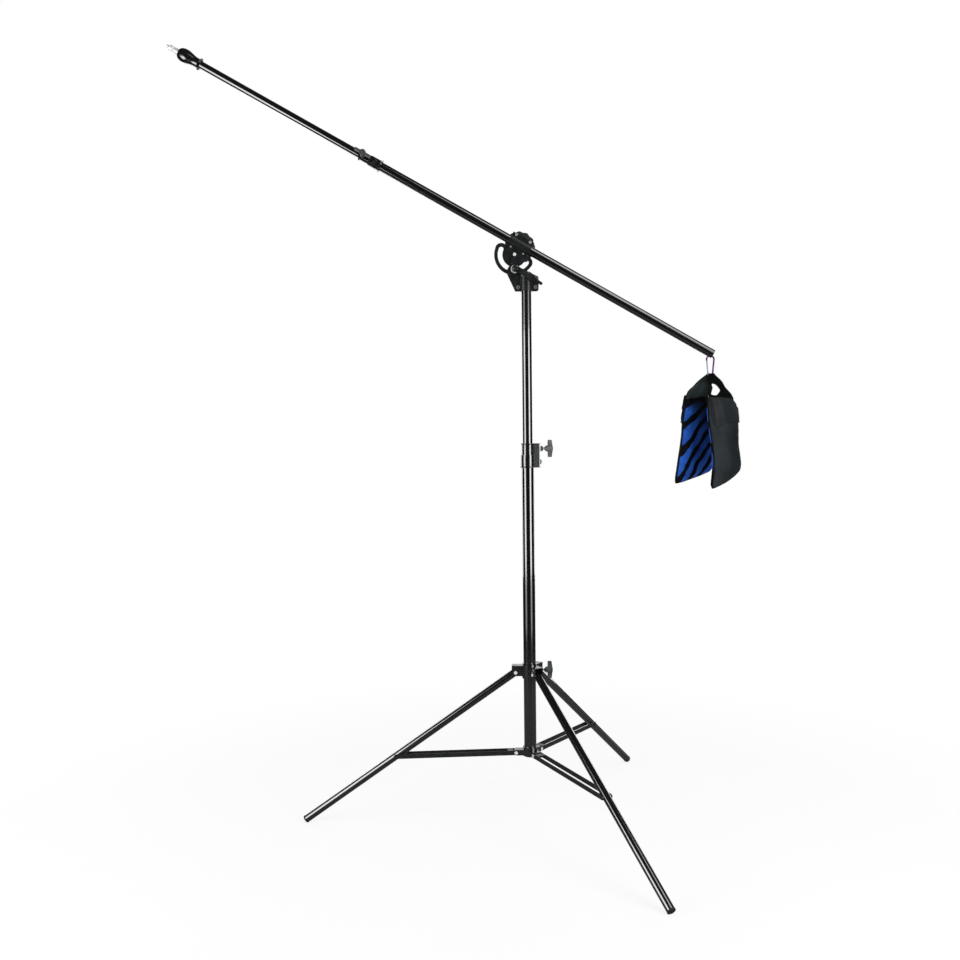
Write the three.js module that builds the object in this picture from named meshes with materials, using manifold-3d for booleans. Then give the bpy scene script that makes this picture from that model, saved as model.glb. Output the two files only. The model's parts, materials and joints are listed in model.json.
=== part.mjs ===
// Studio boom stand: folding tripod, telescopic column, tilting telescopic boom, hung counterweight bag.
// Millimetres, +Z up. The boom lies in the XZ plane with its tip towards -X and its bag towards +X.

import * as THREE from "three";
import { mergeVertices } from "three/addons/utils/BufferGeometryUtils.js";
import Module from "manifold-3d";

const wasm = await Module();
wasm.setup();

// Units and facet counts
const degree = Math.PI / 180;
const halfTurn = Math.PI;
const quarterTurn = Math.PI / 2;
const tubeSides = 24;
const pinSides = 16;
const arcSteps = 12;
const wireSides = 10;

// Clearances shared by every fit, and the overrun of every cutting tool
const fit = 0.3;
const overrun = 6;

// Column and mast tubes
const mastRadius = 15;
const mastWall = 1.5;
const mastLength = 814;
const mastRoom = 1;
const columnWall = 1.5;
const columnLength = 861;
const mastRaised = 505;
const columnRadius = mastRadius + mastRoom + columnWall;
const columnBore = mastRadius + mastRoom;

// Legs and feet
const legCount = 3;
const legNames = ["left", "front", "rear"];
const tripodTwist = -2.6 * degree;
const legRadius = 11;
const legWall = 1.4;
const legLength = 750;
const legSlope = 35.24 * degree;
const legOverhang = 8;
const footRise = 10.2;
const footFlange = 4.5;
const footRim = 0.4;
const footSpigot = 20;
const footRound = 1.2;
const legEndReach = Math.hypot(legRadius, legOverhang);

// Braces between the lower hub and the legs
const bracePivotShare = 0.5664;
const braceSlope = 2.06 * degree;
const braceHeight = 13;
const braceWall = 1.5;
const braceRoom = 1.2;
const bridgeRoom = 1.5;
const bridgeLength = 15.5;
const bushRadius = 4;

// Pins and rivets of the tripod
const pinRadius = 3;
const headRadius = 5;
const headHeight = 1.7;

// Upper hub, which slides on the column, and lower hub, fixed at its foot
const hubWall = 3.7;
const earRoom = 5.4;
const webRoom = 3.9;
const cheekWall = 2.4;
const earDrop = 10;
const earNose = 10.8;
const earRound = 7;
const sleeveRise = 6.1;
const sleeveDrop = 18;
const sleeveBevel = 2.6;
const hubKnobRise = 6.3;
const hubBossRadius = 8;
const hubBossReach = 13;
const hubKnobGap = 7.5;
const tongueEnd = 8;
const lowerHubDrop = 10;
const lowerHubRise = 16;

// Places of the tripod, worked out from the leg and brace
const hubBore = columnRadius + fit;
const hubOuter = hubBore + hubWall;
const pinOrbit = hubOuter + legEndReach + earRoom;
const cheekInner = legRadius + fit;
const cheekOuter = cheekInner + cheekWall;
const webUnder = legEndReach + webRoom;
const webTop = webUnder + cheekWall;
const stripInner = legRadius + braceRoom;
const stripOuter = stripInner + braceWall;
const pivotAlongLeg = legLength * bracePivotShare;
const braceLength = (pivotAlongLeg * Math.cos(legSlope)) / Math.cos(braceSlope);
const upperPinHeight = footRise + legLength * Math.sin(legSlope);
const bracePivotHeight = upperPinHeight - pivotAlongLeg * Math.sin(legSlope);
const lowerPinHeight = bracePivotHeight + braceLength * Math.sin(braceSlope);
const columnBottom = lowerPinHeight - lowerHubDrop;
const columnTop = columnBottom + columnLength;
const mastTop = columnTop + mastRaised;
const mastBottom = mastTop - mastLength;

// Clamping collars, one on the column and one on the boom
const collarWall = 2;
const collarSeat = 3;
const collarLip = 3;
const collarLipEdge = 0.8;
const collarLipHeight = 3.6;
const collarFlareShare = 0.3;
const columnCollarNeck = 36;
const columnCollarSkirt = 32.5;
const columnBlockReach = 14.5;
const columnBlockHalf = 8;
const boomCollarNeck = 32;
const boomCollarSkirt = 32;
const boomBlockReach = 10;
const boomBlockHalf = 8;
const collarNutRadius = 7.4;
const collarNutHeight = 9;
const collarNutRound = 2.5;
const collarScrewDrop = 16;
const collarScrewRadius = 2.5;
const collarScrewHead = 7.5;
const collarHeadHeight = 5.5;

// Winged hand knobs and their screws
const knobScrewRadius = 3;
const knobStem = 4;
const knobNeckRadius = 4.5;
const knobHubRadius = 9;
const knobConeHeight = 6;
const knobHeight = 24;
const knobDome = 3;
const wingSpan = 49;
const wingWidth = 12;
const wingBow = 3;
const wingThickness = 7;
const wingRound = 2.5;
const knobBoreDepth = 16;

// Guide bushes at the inner ends of the mast and of the inner boom tube
const bushFlange = 12;
const bushSpigot = 15;

// Tilting head: dial plate, its bracket and the bolts
const dialRadius = 57;
const dialCore = 34;
const dialSlotWidth = 13;
const dialSlotHalfAngle = 85.3 * degree;
const dialSlotLean = 1.2 * degree;
const dialCapWall = 10.5;
const dialHalfThickness = 2;
const plateWall = 3;
const pivotOffset = 32.5;
const pivotClearance = 4;
const pivotBoltRadius = 4;
const tongueRadius = 9.75;
const tongueRoom = 0.75;
const bracketGrip = 41;
const bracketBulgeRise = 12;
const bracketRight = 19.5;
const bracketRightHeight = 43;
const bracketCorner = 6;
const bracketHighCorner = 7;
const bracketFootLeft = 15;
const bracketThroatDrop = 20;
const bracketWaistReach = 15;
const bracketWaistDrop = 31;
const bracketShoulderReach = 22;
const bracketShoulderDrop = 43;
const bracketHipReach = 20.5;
const bracketHipDrop = 55;
const bracketRidgeDrop = 33;
const boltRadius = 3;
const boltHeadRadius = 5.5;
const boltHeadHeight = 3.5;
const boltNutHeight = 4.5;
const boltInset = 9;
const lowBoltRise = 10.5;
const pivotHeadRadius = 4.6;
const lockAngle = 271.5 * degree;
const lockHeadRadius = 7.5;
const lockBoltReach = 15;
const leverFlangeRadius = 14;
const leverFlangeThickness = 3;
const leverHubRadius = 9;
const leverDome = 7;
const leverRoom = 1;
const leverThickness = 7;
const leverLength = 84;
const leverTipRadius = 3.8;
const leverRootRadius = 8.5;
const leverSlope = 31 * degree;

// Boom tubes
const boomTilt = 29.83 * degree;
const boomInnerRadius = 10.5;
const boomInnerWall = 1.2;
const boomRoom = 0.5;
const boomWall = 1.5;
const boomRear = 625;
const boomFront = 478;
const boomInnerLength = 837;
const boomInnerRear = -208;
const boomOuterRadius = boomInnerRadius + boomRoom + boomWall;
const boomBore = boomInnerRadius + boomRoom;

// Clamp that holds the boom on the dial, and its star knob
const clampHalfLength = 33.5;
const clampWall = 3;
const clampSkirt = 7.7;
const clampCrest = 11.2;
const clampGap = 1;
const clampBore = boomOuterRadius + fit;
const clampOuter = clampBore + clampWall;
const clampScrewRadius = 2.5;
const clampScrewHead = 4;
const clampScrewHeight = 3;
const clampScrewOffset = 22;
const rivetRadius = 1.6;
const rivetHead = 2.6;
const rivetHeadHeight = 1.4;
const rivetOffset = 20;
const rivetInset = 3;
const clampBossRadius = 10;
const clampBossReach = 12;
const starStemRadius = 4;
const starGap = 4;
const starNeckRadius = 12;
const starNeck = 4;
const starThickness = 16;
const starRadius = 43.5;
const starLobe = 1.5;
const starLobes = 12;
const starSteps = 72;
const starBoreDepth = 14;
const boomRise = tongueRadius + tongueRoom + clampSkirt + clampBore;

// Boom head and its spigot
const headFlangeRadius = 17.5;
const headFlangeEdge = 1;
const headFlangeLength = 4.5;
const headNeckRadius = 12.9;
const headNeckLength = 11;
const headLength = 67;
const headBulgeRadius = 19.2;
const headBulgePlace = 46;
const headNoseRadius = 9.5;
const headSteps = 6;
const headSocket = 25;
const spigotRadius = 8;
const spigotReach = 37;
const spigotShank = 22;
const spigotGrooveDepth = 2;
const spigotGrooveWidth = 7;
const spigotTipRadius = 4.5;
const spigotTipLength = 9;
const spigotGrooveShare = 0.45;

// Carabiner through the slot in the boom's rear end
const wireRadius = 2.5;
const landLength = 4;
const landMargin = 25 * degree;
const slotLength = 13.6;
const slotRoom = 0.5;
const hookRadius = 10.5;
const hookFootRadius = 6;
const carabinerLength = 67;
const gateGap = 0.4;
const gateHeelGap = 0.8;
const gateRadius = 2.1;
const gatePinRadius = 0.9;
const gateLapLength = 4.5;
const gateLapGap = 0.2;
const hookNoseAngle = 200 * degree;
const hookWireSteps = 30;

// Counterweight bag
const bagTurn = 46 * degree;
const strapHalfWidth = 3;
const strapWall = 3;
const strapRoom = 1.9;
const strapNeck = 2;
const strapInset = 0.1;
const webWall = 3;
const webTopToPouch = 55;
const webHalfWidth = 60;
const webHoleHalf = 24;
const webHoleBottom = 14;
const webHoleHeight = 22;
const pouchSpread = 37;
const pouchSplay = 4.7 * degree;
const pouchHalfWidth = 68;
const pouchHeight = 252;
const pouchSlant = 34.5;
const pouchFlare = 8.5;
const pouchCorner = 2;
const pouchShoulder = 6;
const pouchCore = 6;
const pouchBevel = 9;
const pouchBevelInset = 14;

// Places of the boom's head
const pivotHeight = mastTop + dialRadius + pivotClearance;
const pivotX = -pivotOffset;
const slotRadius = dialCore + dialSlotWidth / 2;
const tongueLayerInner = dialHalfThickness + fit;
const tongueLayerOuter = tongueLayerInner + plateWall;
const landOffset = boomOuterRadius - boomWall / 2;
const landTurn = boomTilt + landMargin;
const landReach = (landLength / 2) * Math.sin(landTurn) + (boomWall / 2) * Math.cos(landTurn);
const hookDrop = hookRadius - wireRadius - landReach - fit;

// Materials
function finish(color, roughness, metalness) {
  return new THREE.MeshStandardMaterial({ color, roughness, metalness });
}
const blackTube = finish(0x151618, 0.25, 0.3);
const blackMetal = finish(0x1c1d1f, 0.4, 0.3);
const brightSteel = finish(0xd5d8da, 0.25, 1);
const knobPlastic = finish(0x3a3d3f, 0.55, 0);
const bushPlastic = finish(0x202224, 0.6, 0);
const footRubber = finish(0x1a1a1a, 0.85, 0);
const violetMetal = finish(0x5a2c7a, 0.3, 0.8);
const blackFabric = finish(0x23262a, 0.9, 0);
const blueFabric = finish(0x2346a8, 0.9, 0);

// Closed solids from three.js geometries, for joining and cutting
function solid(geometry) {
  const bare = geometry.clone();
  bare.deleteAttribute("normal");
  bare.deleteAttribute("uv");
  const merged = mergeVertices(bare);
  const places = merged.attributes.position;
  const corners = merged.index.array;
  const kept = [];
  const a = new THREE.Vector3();
  const b = new THREE.Vector3();
  const c = new THREE.Vector3();
  let volume = 0;
  for (let i = 0; i < corners.length; i += 3) {
    const [p, q, r] = [corners[i], corners[i + 1], corners[i + 2]];
    if (p === q || q === r || r === p) continue;
    a.fromBufferAttribute(places, p);
    b.fromBufferAttribute(places, q);
    c.fromBufferAttribute(places, r);
    volume += a.dot(b.cross(c));
    kept.push([p, q, r]);
  }
  const facing = volume < 0 ? kept.map(([p, q, r]) => [p, r, q]) : kept;
  const mesh = new wasm.Mesh({
    numProp: 3,
    vertProperties: Float32Array.from(places.array),
    triVerts: Uint32Array.from(facing.flat()),
  });
  return new wasm.Manifold(mesh);
}

function geometryOf(body) {
  const mesh = body.getMesh();
  const geometry = new THREE.BufferGeometry();
  geometry.setAttribute("position", new THREE.BufferAttribute(Float32Array.from(mesh.vertProperties), 3));
  geometry.setIndex(Array.from(mesh.triVerts));
  geometry.computeVertexNormals();
  return geometry;
}

function join(first, ...rest) {
  return rest.reduce((body, next) => body.add(next), first);
}

function cut(first, ...tools) {
  return tools.reduce((body, tool) => body.subtract(tool), first);
}

// Turned and extruded shapes, along +Z until they are turned to another axis
function lathe(profile, sides) {
  const points = profile.map(([radius, height]) => new THREE.Vector2(radius, height));
  return new THREE.LatheGeometry(points, sides).rotateX(quarterTurn);
}

function rod(radius, low, high, sides = pinSides) {
  return lathe([[0, low], [radius, low], [radius, high], [0, high]], sides);
}

function pipe(inner, outer, low, high) {
  return lathe([[inner, low], [outer, low], [outer, high], [inner, high], [inner, low]], tubeSides);
}

function alongX(geometry) {
  return geometry.rotateY(quarterTurn);
}

function alongY(geometry) {
  return geometry.rotateX(-quarterTurn);
}

function block(lowX, highX, lowY, highY, lowZ, highZ) {
  const box = new THREE.BoxGeometry(highX - lowX, highY - lowY, highZ - lowZ);
  return box.translate((lowX + highX) / 2, (lowY + highY) / 2, (lowZ + highZ) / 2);
}

function extrude(points, low, high) {
  const shape = new THREE.Shape(points.map(([x, y]) => new THREE.Vector2(x, y)));
  const geometry = new THREE.ExtrudeGeometry(shape, { depth: high - low, bevelEnabled: false });
  return geometry.translate(0, 0, low);
}

// An outline drawn in X and Z, given a thickness along Y
function plate(points, lowY, highY) {
  return extrude(points, -highY, -lowY).rotateX(quarterTurn);
}

function arc(centreX, centreY, radius, from, to, steps = arcSteps) {
  const points = [];
  for (let i = 0; i <= steps; i += 1) {
    const angle = from + ((to - from) * i) / steps;
    points.push([centreX + radius * Math.cos(angle), centreY + radius * Math.sin(angle)]);
  }
  return points;
}

function stadium(length, radius) {
  return [
    ...arc(0, 0, radius, quarterTurn, quarterTurn + halfTurn),
    ...arc(length, 0, radius, -quarterTurn, quarterTurn),
  ];
}

function piece(parent, name, body, material) {
  const mesh = new THREE.Mesh(geometryOf(body), material);
  mesh.name = name;
  parent.add(mesh);
  return mesh;
}

function frame(parent, x, y, z) {
  const group = new THREE.Group();
  group.position.set(x, y, z);
  parent.add(group);
  return group;
}

// A rivet or pin along Y with a head at both ends
function crossPin(radius, head, headThickness, halfGrip) {
  const end = halfGrip + fit;
  const tip = end + headThickness;
  const profile = [
    [0, -tip], [head, -tip], [head, -end], [radius, -end],
    [radius, end], [head, end], [head, tip], [0, tip],
  ];
  return solid(alongY(lathe(profile, pinSides)));
}

// Winged knob along +X, starting at x = 0, and the screw that is fixed in it
function wingKnob() {
  const core = lathe([
    [0, 0],
    [knobNeckRadius, 0],
    [knobHubRadius, knobConeHeight],
    [knobHubRadius, knobHeight - knobDome],
    [knobHubRadius - knobDome, knobHeight],
    [0, knobHeight],
  ], pinSides);
  const halfSpan = wingSpan / 2 - wingRound;
  const top = knobHeight - wingBow;
  const bottom = knobHeight - wingBow - wingWidth;
  const wingOutline = [
    [knobHeight, 0],
    ...arc(top - wingRound, halfSpan, wingRound, 0, quarterTurn, 4),
    ...arc(bottom + wingRound, halfSpan, wingRound, quarterTurn, halfTurn, 4),
    ...arc(bottom + wingRound, -halfSpan, wingRound, halfTurn, halfTurn + quarterTurn, 4),
    ...arc(top - wingRound, -halfSpan, wingRound, -quarterTurn, 0, 4),
  ];
  const wings = plate(wingOutline, -wingThickness / 2, wingThickness / 2);
  const bore = alongX(rod(knobScrewRadius + fit, -overrun, knobBoreDepth));
  return cut(join(solid(alongX(core)), solid(wings)), solid(bore));
}

function knobWithScrew(parent, name, screwTip, wingAngle) {
  const knob = piece(parent, name, wingKnob(), knobPlastic);
  knob.rotation.x = wingAngle;
  const screw = alongX(rod(knobScrewRadius, -screwTip, knobBoreDepth - fit));
  piece(parent, `${name}_screw`, solid(screw), brightSteel);
}

// A collar's block with a flare at both ends, from the collar's axis to its outer face along +X
function collarBlock(start, reach, half, height) {
  function layer(lip, z) {
    const side = half + lip;
    const end = reach + lip;
    return [[start, -side, z], [end, -side, z], [end, side, z], [start, side, z]];
  }
  const body = block(start, reach, -half, half, 0, height);
  const low = slab(layer(0, collarLipHeight), layer(collarLip, collarLipEdge));
  const high = slab(layer(collarLip, height - collarLipEdge), layer(0, height - collarLipHeight));
  const lowEdge = slab(layer(collarLip, collarLipEdge), layer(collarLip, 0));
  const highEdge = slab(layer(collarLip, height), layer(collarLip, height - collarLipEdge));
  return join(solid(body), low, high, lowEdge, highEdge);
}

// Collar that joins a wide tube below to a narrow one above, along +Z from its lower lip
function collar(wideRadius, narrowRadius, skirtHeight, neckHeight, blockReach, blockHalf) {
  const height = skirtHeight + neckHeight;
  const seat = skirtHeight + collarSeat;
  const wide = wideRadius + fit;
  const narrow = narrowRadius + fit;
  const skirt = wide + collarWall;
  const neck = narrow + collarWall;
  const flare = collarLip * collarFlareShare;
  const flareHeight = (collarLipEdge + collarLipHeight) / 2;
  const sleeve = lathe([
    [wide - fit * 2, 0],
    [skirt + collarLip, 0],
    [skirt + collarLip, collarLipEdge],
    [skirt + flare, flareHeight],
    [skirt, collarLipHeight],
    [skirt, seat],
    [neck, seat],
    [neck, height - collarLipHeight],
    [neck + flare, height - flareHeight],
    [neck + collarLip, height - collarLipEdge],
    [neck + collarLip, height],
    [narrow - fit * 2, height],
    [narrow - fit * 2, seat],
    [wide - fit * 2, seat],
    [wide - fit * 2, 0],
  ], tubeSides);
  const reach = skirt + blockReach;
  const nutHeight = seat + neckHeight / 2;
  const nutEnd = reach + collarNutHeight;
  const nut = alongX(lathe([
    [0, reach - fit],
    [collarNutRadius, reach - fit],
    [collarNutRadius, nutEnd - collarNutRound],
    [collarNutRadius - collarNutRound, nutEnd],
    [0, nutEnd],
  ], pinSides));
  const knobHole = alongX(rod(knobScrewRadius + fit, 0, nutEnd + overrun));
  const screwHole = alongX(rod(collarScrewRadius + fit, 0, reach + overrun));
  const shell = join(solid(sleeve), collarBlock(narrow, reach, blockHalf, height),
    solid(nut.translate(0, 0, nutHeight)));
  const tools = [
    rod(wide, -overrun, skirtHeight, tubeSides),
    rod(narrow, -overrun, height + overrun, tubeSides),
    knobHole.translate(0, 0, nutHeight),
    screwHole.translate(0, 0, collarScrewDrop),
  ];
  return { body: cut(shell, ...tools.map(solid)), reach, nutHeight };
}

// Fixing screw of a collar, along +X, with its dome head against the block
function collarScrew(wideRadius, reach) {
  const seat = reach + fit;
  const profile = [
    [0, wideRadius + fit],
    [collarScrewRadius, wideRadius + fit],
    [collarScrewRadius, seat],
    [collarScrewHead, seat],
    [collarScrewHead * Math.cos(halfTurn / 4), seat + collarHeadHeight * Math.sin(halfTurn / 4)],
    [0, seat + collarHeadHeight],
  ];
  return solid(alongX(lathe(profile, pinSides)));
}

// Plug with a spigot in a tube's end and a flange below it, along +Z from the flange
function endPlug(flangeRadius, flangeHeight, stemRadius, stemHeight) {
  return solid(lathe([
    [0, 0],
    [flangeRadius, 0],
    [flangeRadius, flangeHeight],
    [stemRadius, flangeHeight],
    [stemRadius, flangeHeight + stemHeight],
    [0, flangeHeight + stemHeight],
  ], tubeSides));
}

const stand = new THREE.Group();

// Column
const column = frame(stand, 0, 0, 0);
piece(column, "lower_column_tube", solid(pipe(columnBore, columnRadius, columnBottom, columnTop)), blackTube);

const columnCollar = collar(columnRadius, mastRadius, columnCollarSkirt, columnCollarNeck,
  columnBlockReach, columnBlockHalf);
const columnCollarFrame = frame(column, 0, 0, columnTop + fit - columnCollarSkirt);
piece(columnCollarFrame, "column_collar", columnCollar.body, blackMetal);
const columnScrewFrame = frame(columnCollarFrame, 0, 0, collarScrewDrop);
piece(columnScrewFrame, "column_collar_screw", collarScrew(columnRadius, columnCollar.reach), brightSteel);
const columnKnobX = columnCollar.reach + collarNutHeight + knobStem;
const columnKnobFrame = frame(columnCollarFrame, columnKnobX, 0, columnCollar.nutHeight);
knobWithScrew(columnKnobFrame, "column_knob", columnKnobX - mastRadius - fit, 0);

// Tripod hubs
const tripod = frame(stand, 0, 0, 0);
tripod.rotation.z = tripodTwist;

function legHeading(index) {
  return halfTurn + (index * 2 * halfTurn) / legCount;
}

function crossHole(radius, x) {
  const tool = alongY(rod(radius + fit, -stripOuter - overrun, stripOuter + overrun));
  return tool.translate(x, 0, 0);
}

function upperHub() {
  const top = webTop + sleeveRise;
  const sleeve = lathe([
    [columnRadius, -sleeveDrop],
    [hubOuter, -sleeveDrop],
    [hubOuter, top - sleeveBevel],
    [hubOuter - sleeveBevel, top],
    [columnRadius, top],
    [columnRadius, -sleeveDrop],
  ], tubeSides);
  const cheekStart = Math.sqrt(hubOuter ** 2 - cheekOuter ** 2) - hubWall / 2;
  const cheekEnd = pinOrbit + earNose;
  const cheekOutline = [
    [cheekStart, webTop],
    [cheekStart, -earDrop],
    ...arc(cheekEnd - earRound, earRound - earDrop, earRound, -quarterTurn, 0, 4),
    [cheekEnd, webTop],
  ];
  let body = solid(sleeve);
  for (let i = 0; i < legCount; i += 1) {
    const near = solid(plate(cheekOutline, cheekInner, cheekOuter).rotateZ(legHeading(i)));
    const far = solid(plate(cheekOutline, -cheekOuter, -cheekInner).rotateZ(legHeading(i)));
    const web = block(cheekStart + hubWall, cheekEnd, -cheekOuter, cheekOuter, webUnder, webTop);
    body = join(body, near, far, solid(web.rotateZ(legHeading(i))));
  }
  const boss = alongX(rod(hubBossRadius, columnRadius, hubOuter + hubBossReach)).translate(0, 0, hubKnobRise);
  body = join(body, solid(boss));
  const knobHole = alongX(rod(knobScrewRadius + fit, 0, hubOuter + hubBossReach + overrun));
  body = cut(body, solid(knobHole.translate(0, 0, hubKnobRise)));
  body = cut(body, solid(rod(hubBore, -sleeveDrop - overrun, top + overrun, tubeSides)));
  for (let i = 0; i < legCount; i += 1) {
    body = cut(body, solid(crossHole(pinRadius, pinOrbit).rotateZ(legHeading(i))));
  }
  return body;
}

function lowerHub() {
  let body = solid(pipe(columnRadius, hubOuter, -lowerHubDrop, lowerHubRise));
  const half = stripInner - fit;
  const start = Math.sqrt(hubOuter ** 2 - half ** 2) - hubWall / 2;
  const outline = stadium(pinOrbit - start, tongueEnd).map(([x, z]) => [start + Math.max(x, 0), z]);
  for (let i = 0; i < legCount; i += 1) {
    body = join(body, solid(plate(outline, -half, half).rotateZ(legHeading(i))));
  }
  body = cut(body, solid(rod(hubBore, -lowerHubDrop - overrun, lowerHubRise + overrun, tubeSides)));
  for (let i = 0; i < legCount; i += 1) {
    body = cut(body, solid(crossHole(pinRadius, pinOrbit).rotateZ(legHeading(i))));
  }
  return body;
}

const upperHubFrame = frame(tripod, 0, 0, upperPinHeight);
const lowerHubFrame = frame(tripod, 0, 0, lowerPinHeight);
piece(upperHubFrame, "upper_hub", upperHub(), blackMetal);
piece(lowerHubFrame, "lower_hub", lowerHub(), blackMetal);
const hubKnobX = hubOuter + hubBossReach + hubKnobGap;
const hubKnobFrame = frame(upperHubFrame, hubKnobX, 0, hubKnobRise);
knobWithScrew(hubKnobFrame, "tripod_knob", hubKnobX - columnRadius - fit, 0);

// Legs with their feet, and the braces
function legTube() {
  const tube = alongX(pipe(legRadius - legWall, legRadius, -legOverhang, legLength - fit));
  return cut(solid(tube), solid(crossHole(pinRadius, 0)), solid(crossHole(bushRadius, pivotAlongLeg)));
}

// Rubber plug in the leg's end, cut flat where it stands on the floor
function footCap() {
  const flange = legRadius + footRim;
  const spigot = legRadius - legWall - fit;
  const end = legLength + footFlange;
  const plug = alongX(lathe([
    [0, legLength - footSpigot],
    [spigot, legLength - footSpigot],
    [spigot, legLength],
    [flange, legLength],
    [flange, end - footRound],
    [flange - footRound, end],
    [0, end],
  ], tubeSides));
  const ground = block(-legLength, 2 * legLength, -legLength, legLength,
    -upperPinHeight - legLength, -upperPinHeight);
  ground.translate(-pinOrbit, 0, 0).rotateY(-legSlope);
  return cut(solid(plug), solid(ground));
}

function brace() {
  const outline = stadium(braceLength, braceHeight / 2);
  const near = solid(plate(outline, stripInner, stripOuter));
  const far = solid(plate(outline, -stripOuter, -stripInner));
  const bridgeStart = tongueEnd + bridgeRoom;
  const bridge = block(bridgeStart, bridgeStart + bridgeLength, -stripOuter, stripOuter,
    braceHeight / 2 - braceWall, braceHeight / 2);
  const holes = solid(crossHole(pinRadius, 0));
  const strips = cut(join(near, far, solid(bridge)), holes);
  const rivetReach = stripOuter + headHeight;
  const nearRivet = alongY(rod(headRadius, stripInner, rivetReach)).translate(braceLength, 0, 0);
  const farRivet = alongY(rod(headRadius, -rivetReach, -stripInner)).translate(braceLength, 0, 0);
  return join(strips, solid(nearRivet), solid(farRivet));
}

for (let i = 0; i < legCount; i += 1) {
  const name = legNames[i];
  const upper = frame(upperHubFrame, 0, 0, 0);
  upper.rotation.z = legHeading(i);
  const upperPin = crossPin(pinRadius, headRadius, headHeight, cheekOuter);
  piece(frame(upper, pinOrbit, 0, 0), `upper_pin_${name}`, upperPin, brightSteel);
  const leg = frame(upper, pinOrbit, 0, 0);
  leg.rotation.y = legSlope;
  piece(leg, `leg_tube_${name}`, legTube(), blackTube);
  piece(leg, `foot_cap_${name}`, footCap(), footRubber);
  const bushHalf = stripInner - fit;
  const bush = alongY(rod(bushRadius, -bushHalf, bushHalf)).translate(pivotAlongLeg, 0, 0);
  piece(leg, `leg_bush_${name}`, solid(bush), brightSteel);

  const lower = frame(lowerHubFrame, 0, 0, 0);
  lower.rotation.z = legHeading(i);
  const lowerPin = crossPin(pinRadius, headRadius, headHeight, stripOuter);
  piece(frame(lower, pinOrbit, 0, 0), `lower_pin_${name}`, lowerPin, brightSteel);
  const strut = frame(lower, pinOrbit, 0, 0);
  strut.rotation.y = braceSlope;
  piece(strut, `brace_${name}`, brace(), blackMetal);
}

// Mast and its guide bush
const mast = frame(stand, 0, 0, 0);
piece(mast, "mast_tube", solid(pipe(mastRadius - mastWall, mastRadius, mastBottom, mastTop)), blackTube);
const mastBushFrame = frame(mast, 0, 0, mastBottom - fit - bushFlange);
const mastBush = endPlug(columnBore - fit, bushFlange, mastRadius - mastWall - fit, bushSpigot);
piece(mastBushFrame, "mast_guide_bush", mastBush, bushPlastic);

// Bracket plates clamped round the mast top, drawn in X and Z about the tilt pivot
const bracketBottom = mastTop - bracketGrip - pivotHeight;
const bulgeOuter = mastRadius + fit + plateWall;
const bracketRightX = pivotOffset + mastRadius + bracketRight;
const lowBoltZ = bracketBottom + lowBoltRise;
const highBoltX = bracketRightX - bracketHighCorner;
const highBoltZ = bracketBottom + bracketRightHeight - bracketHighCorner;
const rightBoltX = bracketRightX - boltInset;
const leftBoltX = pivotOffset - bulgeOuter - boltHeadRadius;
const lockX = slotRadius * Math.cos(lockAngle);
const lockZ = slotRadius * Math.sin(lockAngle);
const boltPlaces = [[leftBoltX, lowBoltZ], [rightBoltX, lowBoltZ], [highBoltX, highBoltZ]];

function bracketPlate() {
  const left = -bracketShoulderReach;
  const right = bracketRightX;
  const outline = [
    ...arc(0, 0, tongueRadius, 0, halfTurn, arcSteps),
    [-tongueRadius, -bracketThroatDrop],
    [-bracketWaistReach, -bracketWaistDrop],
    [left, -bracketShoulderDrop],
    [-bracketHipReach, -bracketHipDrop],
    [leftBoltX - bracketFootLeft / 2, bracketBottom],
    ...arc(right - bracketCorner, bracketBottom + bracketCorner, bracketCorner, -quarterTurn, 0, 4),
    ...arc(highBoltX, highBoltZ, bracketHighCorner, 0, quarterTurn, 5),
    [tongueRadius, -bracketRidgeDrop],
  ];
  const depth = bulgeOuter + overrun;
  const mould = solid(plate(outline, -depth, 0));
  const bulgeTop = mastTop + bracketBulgeRise - pivotHeight;
  const inner = mastRadius + fit;
  const innerAngle = Math.asin(tongueLayerInner / inner);
  const outerAngle = Math.asin(tongueLayerOuter / bulgeOuter);
  const section = [
    [left - overrun, -tongueLayerInner],
    ...arc(pivotOffset, 0, inner, halfTurn + innerAngle, 2 * halfTurn - innerAngle),
    [right + overrun, -tongueLayerInner],
    [right + overrun, -tongueLayerOuter],
    ...arc(pivotOffset, 0, bulgeOuter, -outerAngle, outerAngle - halfTurn),
    [left - overrun, -tongueLayerOuter],
  ];
  const gripping = solid(extrude(section, bracketBottom - overrun, bulgeTop));
  const flat = solid(block(left - overrun, right + overrun, -tongueLayerOuter, -tongueLayerInner,
    bulgeTop, tongueRadius + overrun));
  let body = join(gripping, flat).intersect(mould);
  const reach = tongueLayerOuter + overrun;
  for (const [x, z] of boltPlaces) {
    body = cut(body, solid(alongY(rod(boltRadius + fit, -reach, reach)).translate(x, 0, z)));
  }
  body = cut(body, solid(alongY(rod(pivotBoltRadius + fit, -reach, reach))));
  return cut(body, solid(alongY(rod(pivotBoltRadius + fit, -reach, reach)).translate(lockX, 0, lockZ)));
}

const head = frame(mast, pivotX, 0, pivotHeight);
const frontPlate = bracketPlate();
piece(head, "bracket_front_plate", frontPlate, blackMetal);
piece(head, "bracket_rear_plate", frontPlate.mirror([0, 1, 0]), blackMetal);

// A bolt along +Y with its head in front and its nut behind
function throughBolt(radius, headWidth, headThickness, nutThickness) {
  const face = tongueLayerOuter + fit;
  const profile = [
    [0, -face - headThickness],
    [headWidth, -face - headThickness],
    [headWidth, -face],
    [radius, -face],
    [radius, face],
    [headWidth, face],
    [headWidth, face + nutThickness],
    [0, face + nutThickness],
  ];
  return solid(alongY(lathe(profile, pinSides)));
}

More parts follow.
